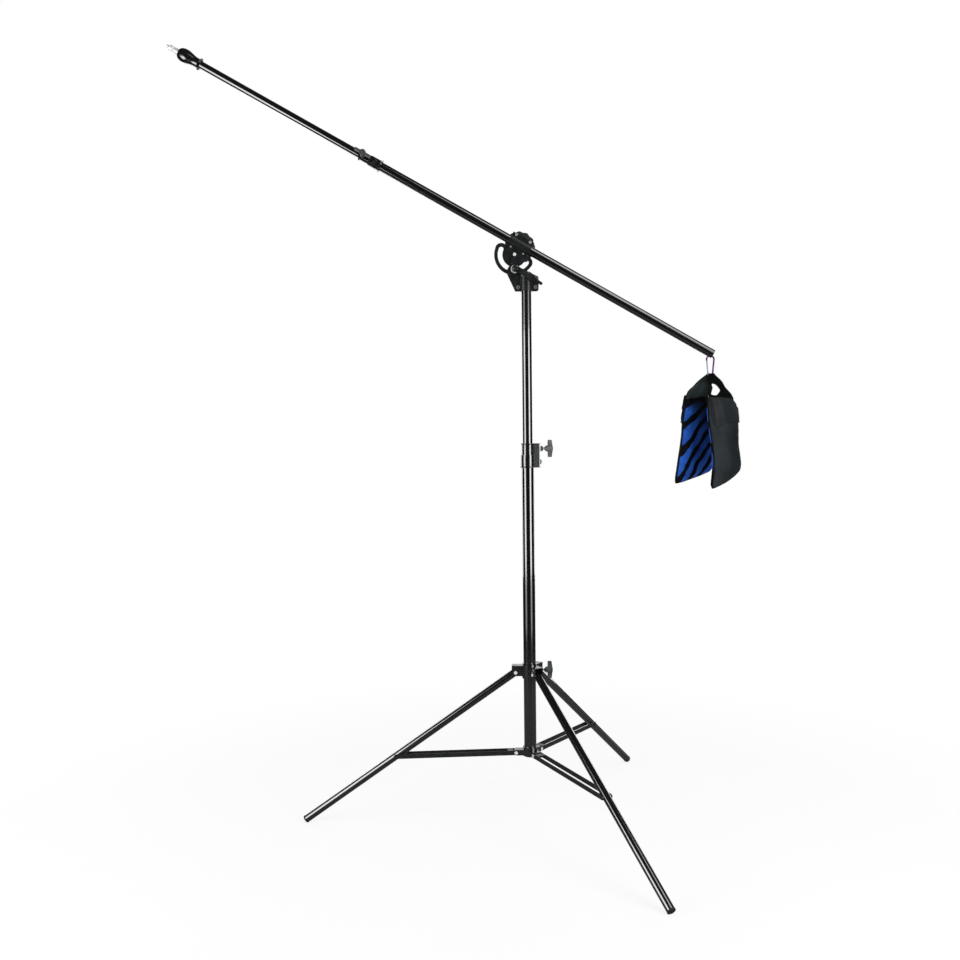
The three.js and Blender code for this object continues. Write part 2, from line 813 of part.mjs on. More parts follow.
const boltNames = ["bracket_bolt_left", "bracket_bolt_right", "bracket_bolt_high"];
boltPlaces.forEach(([x, z], i) => {
  const bolt = throughBolt(boltRadius, boltHeadRadius, boltHeadHeight, boltNutHeight);
  piece(frame(head, x, 0, z), boltNames[i], bolt, brightSteel);
});
const pivotBolt = throughBolt(pivotBoltRadius, pivotHeadRadius, boltHeadHeight, boltNutHeight);
piece(head, "pivot_bolt", pivotBolt, brightSteel);

// Lock bolt through the dial's slot, and the lever on its front end
const leverFace = tongueLayerOuter + fit;
const lockBolt = alongY(lathe([
  [0, -leverFace - lockBoltReach],
  [pivotBoltRadius, -leverFace - lockBoltReach],
  [pivotBoltRadius, leverFace],
  [lockHeadRadius, leverFace],
  [lockHeadRadius, leverFace + boltNutHeight],
  [0, leverFace + boltNutHeight],
], pinSides));
const lock = frame(head, lockX, 0, lockZ);
piece(lock, "lock_bolt", solid(lockBolt), brightSteel);

function lockLever() {
  const outer = -bulgeOuter - leverRoom - leverThickness;
  const crown = outer - leverDome;
  const hub = solid(alongY(lathe([
    [0, crown],
    [leverHubRadius / 2, crown],
    [leverHubRadius, crown + leverDome / 2],
    [leverHubRadius, -leverFace - leverFlangeThickness],
    [leverFlangeRadius, -leverFace - leverFlangeThickness],
    [leverFlangeRadius, -leverFace],
    [0, -leverFace],
  ], tubeSides)));
  const armOutline = [
    [0, leverRootRadius],
    [0, -leverRootRadius],
    ...arc(leverLength, 0, leverTipRadius, -quarterTurn, quarterTurn, 6),
  ];
  const arm = plate(armOutline, outer, outer + leverThickness).rotateY(leverSlope);
  const bore = alongY(rod(pivotBoltRadius + fit, -leverFace - lockBoltReach - fit, 0));
  return cut(join(hub, solid(arm)), solid(bore));
}
piece(lock, "lock_lever", lockLever(), blackMetal);

// Boom frame: +X along the boom to its rear, +Z square to it, from the tilt pivot
const boom = frame(head, 0, 0, 0);
boom.rotation.y = boomTilt;

function dialPlate() {
  const half = dialHalfThickness;
  const topEdge = boomRise - boomOuterRadius - 2 * fit;
  const middle = halfTurn + quarterTurn + dialSlotLean;
  const from = middle - dialSlotHalfAngle;
  const to = middle + dialSlotHalfAngle;
  const inner = slotRadius - dialSlotWidth / 2;
  const outer = slotRadius + dialSlotWidth / 2;
  const core = solid(alongY(rod(dialCore, -half, half, tubeSides * 2)));
  const lower = solid(plate(arc(0, 0, dialRadius, halfTurn, 2 * halfTurn, tubeSides), -half, half));
  let body = join(core, lower);
  let slot = solid(plate([...arc(0, 0, outer, from, to, tubeSides), ...arc(0, 0, inner, to, from, tubeSides)],
    -half - overrun, half + overrun));
  for (const angle of [from, to]) {
    const x = slotRadius * Math.cos(angle);
    const z = slotRadius * Math.sin(angle);
    const cap = alongY(rod(dialSlotWidth / 2 + dialCapWall, -half, half, tubeSides)).translate(x, 0, z);
    const end = alongY(rod(dialSlotWidth / 2, -half - overrun, half + overrun)).translate(x, 0, z);
    body = join(body, solid(cap));
    slot = join(slot, solid(end));
  }
  const spread = 2 * dialRadius;
  const above = block(-spread, spread, -half - overrun, half + overrun, topEdge, spread);
  body = cut(body, slot, solid(above), solid(alongY(rod(pivotBoltRadius + fit, -spread, spread))));
  for (const side of [-1, 1]) {
    const hole = alongY(rod(rivetRadius + fit, -spread, spread));
    body = cut(body, solid(hole.translate(side * rivetOffset, 0, rivetHeight)));
  }
  return body;
}

const clampBottom = tongueRadius + tongueRoom;
const rivetHeight = clampBottom + rivetInset;
const crestScrewHeight = boomRise + clampOuter + clampScrewHead;

// Half of the boom clamp on the -Y side, in the boom frame
function clampHalf() {
  const crestTop = clampBore + clampCrest;
  const crestInner = clampGap;
  const crestOuter = clampGap + clampWall;
  const skirtInner = tongueLayerInner;
  const skirtOuter = tongueLayerOuter;
  const topInner = Math.asin(crestInner / clampBore);
  const topOuter = Math.asin(crestOuter / clampOuter);
  const lowInner = Math.asin(skirtInner / clampBore);
  const lowOuter = Math.asin(skirtOuter / clampOuter);
  const section = [
    [-crestInner, crestTop],
    ...arc(0, 0, clampBore, quarterTurn + topInner, halfTurn + quarterTurn - lowInner),
    [-skirtInner, clampBottom - boomRise],
    [-skirtOuter, clampBottom - boomRise],
    ...arc(0, 0, clampOuter, halfTurn + quarterTurn - lowOuter, quarterTurn + topOuter),
    [-crestOuter, crestTop],
  ];
  return extrude(section, -clampHalfLength, clampHalfLength).rotateX(quarterTurn).rotateZ(quarterTurn);
}

function clampShell(side) {
  const section = clampHalf();
  let body = solid(section.translate(0, 0, boomRise));
  const reach = clampOuter + overrun;
  for (const way of [-1, 1]) {
    const screwHole = alongY(rod(clampScrewRadius + fit, -reach, reach));
    const rivetHole = alongY(rod(rivetRadius + fit, -reach, reach));
    body = cut(body, solid(screwHole.translate(way * clampScrewOffset, 0, crestScrewHeight)));
    body = cut(body, solid(rivetHole.translate(way * rivetOffset, 0, rivetHeight)));
  }
  if (side < 0) return body;
  const rear = body.mirror([0, 1, 0]);
  const boss = alongY(rod(clampBossRadius, clampBore + fit, clampOuter + clampBossReach));
  const bore = alongY(rod(starStemRadius + fit, 0, clampOuter + clampBossReach + overrun));
  const room = alongX(rod(clampBore, -reach, reach, tubeSides)).translate(0, 0, boomRise);
  const bossed = cut(join(rear, solid(boss.translate(0, 0, boomRise))), solid(room));
  return cut(bossed, solid(bore.translate(0, 0, boomRise)));
}

piece(boom, "dial_plate", dialPlate(), blackMetal);
piece(boom, "boom_clamp_front", clampShell(-1), blackMetal);
piece(boom, "boom_clamp_rear", clampShell(1), blackMetal);
for (const [label, way] of [["front", -1], ["rear", 1]]) {
  const grip = clampGap + clampWall;
  const screw = crossPin(clampScrewRadius, clampScrewHead, clampScrewHeight, grip);
  piece(frame(boom, way * clampScrewOffset, 0, crestScrewHeight), `clamp_screw_${label}`, screw, brightSteel);
  const rivet = crossPin(rivetRadius, rivetHead, rivetHeadHeight, tongueLayerOuter);
  piece(frame(boom, way * rivetOffset, 0, rivetHeight), `dial_rivet_${label}`, rivet, brightSteel);
}

// Star knob behind the clamp, along +Y
const starBase = clampOuter + clampBossReach + starGap;
const star = frame(boom, 0, 0, boomRise);

function starKnob() {
  const outline = [];
  for (let i = 0; i < starSteps; i += 1) {
    const angle = (i * 2 * halfTurn) / starSteps;
    const radius = starRadius + starLobe * Math.cos(starLobes * angle);
    outline.push([radius * Math.cos(angle), radius * Math.sin(angle)]);
  }
  const wheel = plate(outline, starBase + starNeck, starBase + starNeck + starThickness);
  const neck = alongY(rod(starNeckRadius, starBase, starBase + starNeck + fit));
  const bore = alongY(rod(starStemRadius + fit, 0, starBase + starBoreDepth));
  return cut(join(solid(wheel), solid(neck)), solid(bore));
}
piece(star, "clamp_knob", starKnob(), knobPlastic);
const starScrew = alongY(rod(starStemRadius, boomOuterRadius + fit, starBase + starBoreDepth - fit));
piece(star, "clamp_knob_screw", solid(starScrew), brightSteel);

// Outer boom tube with its collar and knob, about the boom's axis
const boomAxis = frame(boom, 0, 0, boomRise);

function outerTube() {
  const tube = alongX(pipe(boomBore, boomOuterRadius, -boomFront, boomRear));
  const half = wireRadius + slotRoom;
  const slotEnd = boomRear - landLength;
  const slotStart = slotEnd - slotLength;
  const ends = extrude(stadium(slotLength - 2 * half, half), -boomOuterRadius - overrun, 0);
  ends.translate(slotStart + half, 0, 0);
  return cut(solid(tube), solid(ends));
}
piece(boomAxis, "boom_outer_tube", outerTube(), blackTube);

const boomCollar = collar(boomOuterRadius, boomInnerRadius, boomCollarSkirt, boomCollarNeck,
  boomBlockReach, boomBlockHalf);
const boomCollarFrame = frame(boomAxis, -boomFront - fit + boomCollarSkirt, 0, 0);
boomCollarFrame.rotation.set(quarterTurn, -quarterTurn, 0);
piece(boomCollarFrame, "boom_collar", boomCollar.body, blackMetal);
const boomScrewFrame = frame(boomCollarFrame, 0, 0, collarScrewDrop);
piece(boomScrewFrame, "boom_collar_screw", collarScrew(boomOuterRadius, boomCollar.reach), brightSteel);
const boomKnobX = boomCollar.reach + collarNutHeight + knobStem;
const boomKnobFrame = frame(boomCollarFrame, boomKnobX, 0, boomCollar.nutHeight);
knobWithScrew(boomKnobFrame, "boom_knob", boomKnobX - boomInnerRadius - fit, 0);

// Inner boom tube, its guide bush, the boom head and the spigot
const innerFront = boomInnerRear - boomInnerLength;
const innerTube = alongX(pipe(boomInnerRadius - boomInnerWall, boomInnerRadius, innerFront, boomInnerRear));
piece(boomAxis, "boom_inner_tube", solid(innerTube), blackTube);
const boomBushFrame = frame(boomAxis, boomInnerRear + fit + bushFlange, 0, 0);
boomBushFrame.rotation.y = -quarterTurn;
const boomBush = endPlug(boomBore - fit, bushFlange, boomInnerRadius - boomInnerWall - fit, bushSpigot);
piece(boomBushFrame, "boom_guide_bush", boomBush, bushPlastic);

// Head and spigot point along -X, drawn along +Z from the head's flange
const boomHeadFrame = frame(boomAxis, innerFront - fit + headSocket, 0, 0);
boomHeadFrame.rotation.y = -quarterTurn;

function boomHead() {
  const profile = [
    [0, 0],
    [headFlangeRadius, 0],
    [headFlangeRadius, headFlangeEdge],
    [headNeckRadius, headFlangeLength],
  ];
  for (let i = 0; i <= headSteps; i += 1) {
    const share = i / headSteps;
    const swell = (1 - Math.cos(halfTurn * share)) / 2;
    profile.push([
      headNeckRadius + (headBulgeRadius - headNeckRadius) * swell,
      headNeckLength + (headBulgePlace - headNeckLength) * share,
    ]);
  }
  const nose = headBulgeRadius - headNoseRadius;
  for (let i = 1; i <= headSteps; i += 1) {
    const angle = (quarterTurn * i) / headSteps;
    profile.push([
      headNoseRadius + nose * Math.cos(angle),
      headBulgePlace + (headLength - headBulgePlace) * Math.sin(angle),
    ]);
  }
  profile.push([0, headLength]);
  const shell = lathe(profile, tubeSides);
  const socket = rod(boomInnerRadius + fit, -overrun, headSocket, tubeSides);
  const seat = rod(spigotRadius + fit, headLength - spigotShank, headLength + overrun, tubeSides);
  return cut(solid(shell), solid(socket), solid(seat));
}
piece(boomHeadFrame, "boom_head", boomHead(), blackMetal);

const grooveMiddle = headLength + spigotReach * spigotGrooveShare;
const spigotEnd = headLength + spigotReach;
const spigot = lathe([
  [0, headLength - spigotShank + fit],
  [spigotRadius, headLength - spigotShank + fit],
  [spigotRadius, grooveMiddle - spigotGrooveWidth / 2],
  [spigotRadius - spigotGrooveDepth, grooveMiddle],
  [spigotRadius, grooveMiddle + spigotGrooveWidth / 2],
  [spigotRadius, spigotEnd - spigotTipLength],
  [spigotTipRadius, spigotEnd - spigotTipLength],
  [spigotTipRadius, spigotEnd],
  [0, spigotEnd],
], tubeSides);
piece(boomHeadFrame, "spigot", solid(spigot), brightSteel);

// Carabiner, hanging plumb from the land between the slot and the tube's end
const landX = boomRear - landLength / 2;
const landZ = boomRise - landOffset;
const hang = frame(
  head,
  landX * Math.cos(boomTilt) + landZ * Math.sin(boomTilt),
  0,
  landZ * Math.cos(boomTilt) - landX * Math.sin(boomTilt),
);
const hookTop = -hookDrop;
const hookFoot = hookTop + hookRadius + wireRadius - carabinerLength + wireRadius + hookFootRadius;

class WireRoute extends THREE.Curve {
  constructor(corners) {
    super();
    this.corners = corners;
  }

  getPoint(share, target = new THREE.Vector3()) {
    const place = share * (this.corners.length - 1);
    const index = Math.min(Math.floor(place), this.corners.length - 2);
    return target.lerpVectors(this.corners[index], this.corners[index + 1], place - index);
  }
}

function wire(points, radius) {
  const corners = points.map(([x, z]) => new THREE.Vector3(x, 0, z));
  const shape = new THREE.Shape(arc(0, 0, radius, 0, 2 * halfTurn * (1 - 1 / wireSides), wireSides - 1)
    .map(([x, y]) => new THREE.Vector2(x, y)));
  const options = { steps: points.length - 1, bevelEnabled: false, extrudePath: new WireRoute(corners) };
  return solid(new THREE.ExtrudeGeometry(shape, options));
}

const gateTop = [
  hookRadius * Math.cos(hookNoseAngle),
  hookTop + hookRadius * Math.sin(hookNoseAngle),
];
const gateFoot = [-hookFootRadius, hookFoot];
const gateSpan = Math.hypot(gateTop[0] - gateFoot[0], gateTop[1] - gateFoot[1]);
const gateWay = [(gateTop[0] - gateFoot[0]) / gateSpan, (gateTop[1] - gateFoot[1]) / gateSpan];

function onGate(distance, side = 0) {
  return [
    gateFoot[0] + gateWay[0] * distance + gateWay[1] * side,
    gateFoot[1] + gateWay[1] * distance - gateWay[0] * side,
  ];
}

function crossRod(radius, point, low, high) {
  return solid(alongY(rod(radius, low, high)).translate(point[0], 0, point[1]));
}

function carabinerFrame() {
  const route = [
    ...arc(0, hookTop, hookRadius, hookNoseAngle, 0, hookWireSteps / 2),
    ...arc(0, hookFoot, hookFootRadius, 0, -halfTurn, hookWireSteps / 2),
  ];
  const lap = gateLapLength;
  const tab = [onGate(-lap / 2, -wireRadius), onGate(lap, -gateRadius), onGate(lap, gateRadius),
    onGate(-lap / 2, wireRadius)];
  const ear = solid(plate(tab, gateLapGap, gateRadius));
  const pin = crossRod(gatePinRadius, onGate(lap / 2), -gateRadius, gateRadius - gateLapGap);
  return join(wire(route, wireRadius), ear, pin);
}

function carabinerGate() {
  const lap = gateLapLength;
  const bar = wire([onGate(lap), onGate(gateSpan - gateGap)], gateRadius);
  const clearOfEar = crossRod(lap * 2, onGate(0), 0, gateRadius + overrun);
  const tongue = [onGate(gateHeelGap, -gateRadius), onGate(lap * 2, -gateRadius),
    onGate(lap * 2, gateRadius), onGate(gateHeelGap, gateRadius)];
  const leaf = solid(plate(tongue, -gateRadius, -gateLapGap));
  const hole = crossRod(gatePinRadius + gateLapGap, onGate(lap / 2), -gateRadius - overrun, 0);
  return cut(join(cut(bar, clearOfEar), leaf), hole);
}

piece(hang, "carabiner_frame", carabinerFrame(), violetMetal);
piece(hang, "carabiner_gate", carabinerGate(), brightSteel);

// Bag: a strap over the carabiner's foot, two webs and two pouches, turned about the vertical
const bag = frame(hang, 0, 0, hookFoot - hookFootRadius);
const wrapInner = wireRadius + strapRoom;
const wrapOuter = wrapInner + strapWall;

function slab(top, bottom) {
  const geometry = new THREE.BufferGeometry();
  geometry.setAttribute("position", new THREE.Float32BufferAttribute([...top, ...bottom].flat(), 3));
  geometry.setIndex([0, 1, 2, 0, 2, 3, 4, 6, 5, 4, 7, 6, 0, 5, 1, 0, 4, 5, 1, 6, 2, 1, 5, 6,
    2, 7, 3, 2, 6, 7, 3, 4, 0, 3, 7, 4]);
  return solid(geometry);
}

function turned(x, y, z) {
  return [x * Math.cos(bagTurn) - y * Math.sin(bagTurn), x * Math.sin(bagTurn) + y * Math.cos(bagTurn), z];
}

function bagWeb(side) {
  const low = wrapInner + strapInset;
  const high = wrapOuter - strapInset;
  const half = strapHalfWidth - strapInset;
  const start = -strapNeck / 2;
  const top = [[-half, side * low, start], [half, side * low, start], [half, side * high, start],
    [-half, side * high, start]];
  const near = side * (pouchSpread - webWall / 2);
  const far = side * (pouchSpread + webWall / 2);
  const foot = -webTopToPouch;
  const bottom = [turned(-webHalfWidth, near, foot), turned(webHalfWidth, near, foot),
    turned(webHalfWidth, far, foot), turned(-webHalfWidth, far, foot)];
  const sheet = slab(top, bottom);
  const base = foot + webHoleBottom;
  const holeOutline = [[-webHoleHalf, base], [webHoleHalf, base], [0, base + webHoleHeight]];
  const reach = pouchSpread * 2;
  const hole = plate(holeOutline, side > 0 ? 0 : -reach, side > 0 ? reach : 0).rotateZ(bagTurn);
  return cut(sheet, solid(hole));
}

function bagStrap() {
  const wrapOutline = [
    [-wrapInner, -strapNeck],
    ...arc(0, 0, wrapInner, halfTurn, 0),
    [wrapInner, -strapNeck],
    [wrapOuter, -strapNeck],
    ...arc(0, 0, wrapOuter, 0, halfTurn),
    [-wrapOuter, -strapNeck],
  ];
  const wrap = plate(wrapOutline, -strapHalfWidth, strapHalfWidth).rotateZ(quarterTurn);
  return join(solid(wrap), bagWeb(-1), bagWeb(1));
}

function pouch() {
  const half = pouchHalfWidth - pouchBevelInset;
  const top = -pouchBevelInset;
  const low = pouchBevelInset - pouchHeight;
  const high = low + pouchSlant;
  const left = -half - pouchFlare;
  const outline = [
    ...arc(half - pouchShoulder, top - pouchShoulder, pouchShoulder, 0, quarterTurn, 3),
    ...arc(-half + pouchCorner, top - pouchCorner, pouchCorner, quarterTurn, halfTurn, 2),
    ...arc(left + pouchCorner, low + pouchCorner, pouchCorner, halfTurn, halfTurn + quarterTurn, 2),
    ...arc(half - pouchShoulder, high + pouchShoulder, pouchShoulder, -quarterTurn, 0, 3),
  ];
  const shape = new THREE.Shape(outline.map(([x, y]) => new THREE.Vector2(x, y)));
  const geometry = new THREE.ExtrudeGeometry(shape, {
    depth: pouchCore,
    bevelEnabled: true,
    bevelSegments: 4,
    bevelThickness: pouchBevel,
    bevelSize: pouchBevelInset,
  });
  return solid(geometry.translate(0, 0, -pouchCore / 2).rotateX(quarterTurn));
}

piece(bag, "bag_strap", bagStrap(), blackFabric);
const pouches = frame(bag, 0, 0, -webTopToPouch - 2 * fit);
pouches.rotation.z = bagTurn;
const nearPouch = frame(pouches, 0, -pouchSpread, 0);
nearPouch.rotation.x = -pouchSplay;
piece(nearPouch, "bag_pouch_near", pouch(), blackFabric);
const farPouch = frame(pouches, 0, pouchSpread, 0);
farPouch.rotation.x = pouchSplay;
piece(farPouch, "bag_pouch_far", pouch(), blueFabric);

// The part's origin is the middle of its footprint, on the floor
stand.updateMatrixWorld(true);
const bounds = new THREE.Box3().setFromObject(stand, true);
stand.position.set(-(bounds.min.x + bounds.max.x) / 2, -(bounds.min.y + bounds.max.y) / 2, -bounds.min.z);

const part = new THREE.Group();
part.add(stand);

export default part;
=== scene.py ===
import json
import math

import bpy
from mathutils import Matrix, Vector
from mathutils.bvhtree import BVHTree


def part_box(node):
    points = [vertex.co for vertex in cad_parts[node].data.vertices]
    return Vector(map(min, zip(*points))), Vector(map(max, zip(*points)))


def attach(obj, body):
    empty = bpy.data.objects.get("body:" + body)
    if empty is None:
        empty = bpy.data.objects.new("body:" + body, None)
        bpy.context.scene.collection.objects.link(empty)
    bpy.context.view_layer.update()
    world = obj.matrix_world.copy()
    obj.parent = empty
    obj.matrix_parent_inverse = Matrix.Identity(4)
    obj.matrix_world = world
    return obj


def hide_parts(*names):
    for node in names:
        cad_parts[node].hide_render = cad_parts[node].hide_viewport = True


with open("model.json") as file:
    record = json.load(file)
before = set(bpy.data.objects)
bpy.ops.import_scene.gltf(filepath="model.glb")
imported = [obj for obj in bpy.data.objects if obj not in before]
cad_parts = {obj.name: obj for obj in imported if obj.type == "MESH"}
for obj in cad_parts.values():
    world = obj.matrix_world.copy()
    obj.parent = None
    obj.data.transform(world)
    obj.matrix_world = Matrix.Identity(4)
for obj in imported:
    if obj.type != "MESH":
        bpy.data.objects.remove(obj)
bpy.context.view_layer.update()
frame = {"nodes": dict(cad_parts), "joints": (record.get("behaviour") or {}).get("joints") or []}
scene = bpy.context.scene
nodes = frame["nodes"]
joints = {joint["name"]: joint for joint in frame["joints"]}

MM = 0.001
SIDES = ("left", "front", "rear")
X_AXIS = Vector((1, 0, 0))
Y_AXIS = Vector((0, 1, 0))
Z_AXIS = Vector((0, 0, 1))


def joint_place(name):
    return Vector(joints[name]["pos_m"])


def middle(node):
    low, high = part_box(node)
    return (low + high) / 2


COLUMN = middle("lower_column_tube")
REARWARD = Vector(joints["boom_slide"]["axis"]).normalized()


# Camera, fitted to the photograph

CAMERA_FROM_COLUMN = Vector((-0.1328, -3.0152))
CAMERA_HEIGHT = 1.1555
CAMERA_YAW = math.radians(0.041)
CAMERA_PITCH = math.radians(-3.073)
CAMERA_ROLL = math.radians(-0.651)
CAMERA_LENS = 39.86
CAMERA_SENSOR = 36.0
HALF_PIXEL = 0.5 / 960


def add_camera():
    data = bpy.data.cameras.new("camera")
    data.lens = CAMERA_LENS
    data.sensor_width = CAMERA_SENSOR
    data.sensor_height = CAMERA_SENSOR
    data.shift_x = -HALF_PIXEL
    data.shift_y = HALF_PIXEL
    camera = bpy.data.objects.new("camera", data)
    scene.collection.objects.link(camera)
    turn = (
        Matrix.Rotation(CAMERA_YAW, 4, "Z")
        @ Matrix.Rotation(math.pi / 2 + CAMERA_PITCH, 4, "X")
        @ Matrix.Rotation(CAMERA_ROLL, 4, "Z")
    )
    place = Vector((COLUMN.x + CAMERA_FROM_COLUMN.x, COLUMN.y + CAMERA_FROM_COLUMN.y, CAMERA_HEIGHT))
    camera.matrix_world = Matrix.Translation(place) @ turn
    scene.camera = camera


add_camera()
scene.view_settings.view_transform = "Standard"


# Materials, each a small tree of nodes on one shader

class Finish:
    """A material with its shader, and short ways to add nodes to it."""

    def __init__(self, name, roughness=0.5, metallic=0.0, specular=0.5):
        self.material = bpy.data.materials.new(name)
        self.material.use_nodes = True
        self.tree = self.material.node_tree
        self.shader = self.tree.nodes["Principled BSDF"]
        self.shader.inputs["Roughness"].default_value = roughness
        self.shader.inputs["Metallic"].default_value = metallic
        self.shader.inputs["Specular IOR Level"].default_value = specular
        self.coordinates = self.tree.nodes.new("ShaderNodeTexCoord").outputs["Object"]

    def node(self, kind, **settings):
        node = self.tree.nodes.new(kind)
        for key, value in settings.items():
            setattr(node, key, value)
        return node

    def link(self, source, target):
        self.tree.links.new(source, target)

    def feed(self, socket, value):
        """Give a socket another node's output, a colour or a number."""
        if isinstance(value, bpy.types.NodeSocket):
            self.link(value, socket)
        else:
            socket.default_value = (*value, 1.0) if isinstance(value, tuple) else value

    def axes(self):
        split = self.node("ShaderNodeSeparateXYZ")
        self.link(self.coordinates, split.inputs["Vector"])
        return split.outputs["X"], split.outputs["Y"], split.outputs["Z"]

    def stretched(self, scale, along):
        """Coordinates that are turned so that z runs along a direction, and then scaled."""
        turn = Z_AXIS.rotation_difference(along).to_euler()
        mapping = self.node("ShaderNodeMapping")
        mapping.inputs["Scale"].default_value = scale
        mapping.inputs["Rotation"].default_value = tuple(-angle for angle in turn)
        self.link(self.coordinates, mapping.inputs["Vector"])
        return mapping.outputs["Vector"]

    def noise(self, scale, detail=4.0, vector=None):
        noise = self.node("ShaderNodeTexNoise")
        noise.inputs["Scale"].default_value = scale
        noise.inputs["Detail"].default_value = detail
        self.link(self.coordinates if vector is None else vector, noise.inputs["Vector"])
        return noise.outputs["Fac"]

    def bands(self, way, pitch, distortion, detail):
        """Wavy bands across an axis, this many metres apart."""
        wave = self.node("ShaderNodeTexWave", wave_type="BANDS", bands_direction=way)
        wave.inputs["Scale"].default_value = 2 * math.pi / (20 * pitch)
        wave.inputs["Distortion"].default_value = distortion
        wave.inputs["Detail"].default_value = detail
        self.link(self.coordinates, wave.inputs["Vector"])
        return wave.outputs["Fac"]

    def ramp(self, value, low, high, low_colour, high_colour):
        ramp = self.node("ShaderNodeValToRGB")
        ramp.color_ramp.elements[0].position = low
        ramp.color_ramp.elements[1].position = high
        ramp.color_ramp.elements[0].color = (*low_colour, 1.0)
        ramp.color_ramp.elements[1].color = (*high_colour, 1.0)
        self.link(value, ramp.inputs["Fac"])
        return ramp.outputs["Color"]

    def share(self, value, start, end, least=0.0, most=1.0, smooth=False):
        """From least to most as the value goes from start to end."""
        spread = self.node("ShaderNodeMapRange", interpolation_type="SMOOTHSTEP" if smooth else "LINEAR")
        spread.inputs["From Min"].default_value = start
        spread.inputs["From Max"].default_value = end
        spread.inputs["To Min"].default_value = least
        spread.inputs["To Max"].default_value = most
        self.link(value, spread.inputs["Value"])
        return spread.outputs["Result"]

    def span(self, value, low, high):
        return self.share(value, 0.0, 1.0, low, high)

    def maths(self, kind, first, second):
        maths = self.node("ShaderNodeMath", operation=kind)
        self.feed(maths.inputs[0], first)
        self.feed(maths.inputs[1], second)
        return maths.outputs["Value"]

    def weigh(self, first, second, weight):
        """The first value plus this much of the second."""
        return self.maths("ADD", first, self.maths("MULTIPLY", second, weight))

    def mix(self, factor, first, second, blend="MIX"):
        mix = self.node("ShaderNodeMix", data_type="RGBA", blend_type=blend)
        self.feed(mix.inputs["Factor"], factor)
        self.feed(mix.inputs["A"], first)
        self.feed(mix.inputs["B"], second)
        return mix.outputs["Result"]

    def colour(self, socket):
        self.link(socket, self.shader.inputs["Base Color"])

    def roughness(self, socket):
        self.link(socket, self.shader.inputs["Roughness"])

    def bump(self, height, strength, distance):
        bump = self.node("ShaderNodeBump")
        bump.inputs["Strength"].default_value = strength
        bump.inputs["Distance"].default_value = distance
        self.link(height, bump.inputs["Height"])
        self.link(bump.outputs["Normal"], self.shader.inputs["Normal"])

    def coat(self, weight, roughness):
        self.shader.inputs["Coat Weight"].default_value = weight
        self.shader.inputs["Coat Roughness"].default_value = roughness

    def sheen(self, weight, roughness):
        self.shader.inputs["Sheen Weight"].default_value = weight
        self.shader.inputs["Sheen Roughness"].default_value = roughness


CLOTH_SPECULAR = 0.05
CLOTH_SHEEN = (0.01, 0.5)
THREAD_PITCH = 0.9 * MM
RIB_PITCH = 1.6 * MM

# Satin block of the column's collar, with painted highlight and painted shade bands across it. A band starts and ends
# this many millimetres past the block's near side, and from its end on, the colour has this factor
BLOCK_EASE = 2 * MM
BLOCK_PAINTED_LIGHT_BANDS = ((11.5, 12.5, 0.35), (14.0, 15.0, 2.9), (15.5, 17.0, 14.0), (20.5, 21.5, 0.03))

STRIPE_PITCH = 45 * MM
STRIPE_SLOPE = -0.56
STRIPE_BEND = 2.2
STRIPE_LIFT = 0.9


def tube_paint(name, along):
    """Gloss black paint on a drawn tube, with faint rub marks along the tube."""
    finish = Finish(name, specular=1.0)
    finish.coat(1.0, 0.08)
    marks = finish.noise(110.0, 3.0, finish.stretched((1.0, 1.0, 0.012), along))
    blotches = finish.noise(7.0, 3.0)
    finish.colour(finish.ramp(blotches, 0.3, 0.75, (0.0015, 0.0015, 0.0016), (0.0032, 0.0032, 0.0035)))
    finish.roughness(finish.span(marks, 0.08, 0.15))
    return finish.material


def gloss_coat(name="gloss_coat", block=None):
    """Gloss black coat on castings, with a soft orange peel. A block beyond an x position is satin, with painted
    highlight and painted shade bands across it.
    """
    finish = Finish(name, specular=1.0)
    finish.coat(0.6, 0.12)
    wear = finish.noise(60.0, 5.0)
    shine = finish.span(wear, 0.1, 0.2)
    colour = finish.ramp(wear, 0.35, 0.8, (0.002, 0.002, 0.0022), (0.006, 0.006, 0.0066))
    if block is not None:
        x = finish.axes()[0]
        satin = finish.ramp(wear, 0.3, 0.8, (0.022, 0.024, 0.0235), (0.036, 0.039, 0.0385))
        # Painted highlight and painted shade: each band lightens or darkens the satin block at a fixed place
        for start, end, tone in BLOCK_PAINTED_LIGHT_BANDS:
            band = finish.share(x, block + start * MM, block + end * MM)
            satin = finish.mix(1.0, satin, finish.mix(band, (1.0, 1.0, 1.0), (tone, tone, tone)), "MULTIPLY")
        side = finish.share(x, block, block + BLOCK_EASE)
        colour = finish.mix(side, colour, satin)
        shine = finish.weigh(shine, side, 0.25)
    finish.colour(colour)
    finish.roughness(shine)
    finish.bump(finish.noise(300.0, 2.0), 0.02, 0.0002)
    return finish.material


def powder_coat(
    name="powder_coat", dark=(0.0056, 0.0063, 0.0068), light=(0.0145, 0.0156, 0.0165), rough=(0.22, 0.36), gloss=0.5,
):
    """Satin black powder coat on pressed plates and small castings."""
    finish = Finish(name, specular=gloss)
    wear = finish.noise(60.0, 5.0)
    finish.colour(finish.ramp(wear, 0.35, 0.8, dark, light))
    finish.roughness(finish.span(wear, *rough))
    finish.bump(finish.noise(700.0, 2.0), 0.03, 0.0002)
    return finish.material


def bright_steel(
    name="bright_steel", dark=(0.55, 0.56, 0.57), light=(0.82, 0.83, 0.84), rough=(0.2, 0.34), metallic=0.75,
):
    """Plated screws and rivets with fine turning marks."""
    finish = Finish(name, metallic=metallic)
    wear = finish.noise(140.0)
    finish.colour(finish.ramp(wear, 0.3, 0.8, dark, light))
    finish.roughness(finish.span(wear, *rough))
    finish.bump(finish.noise(1500.0, 2.0), 0.02, 0.0001)
    return finish.material


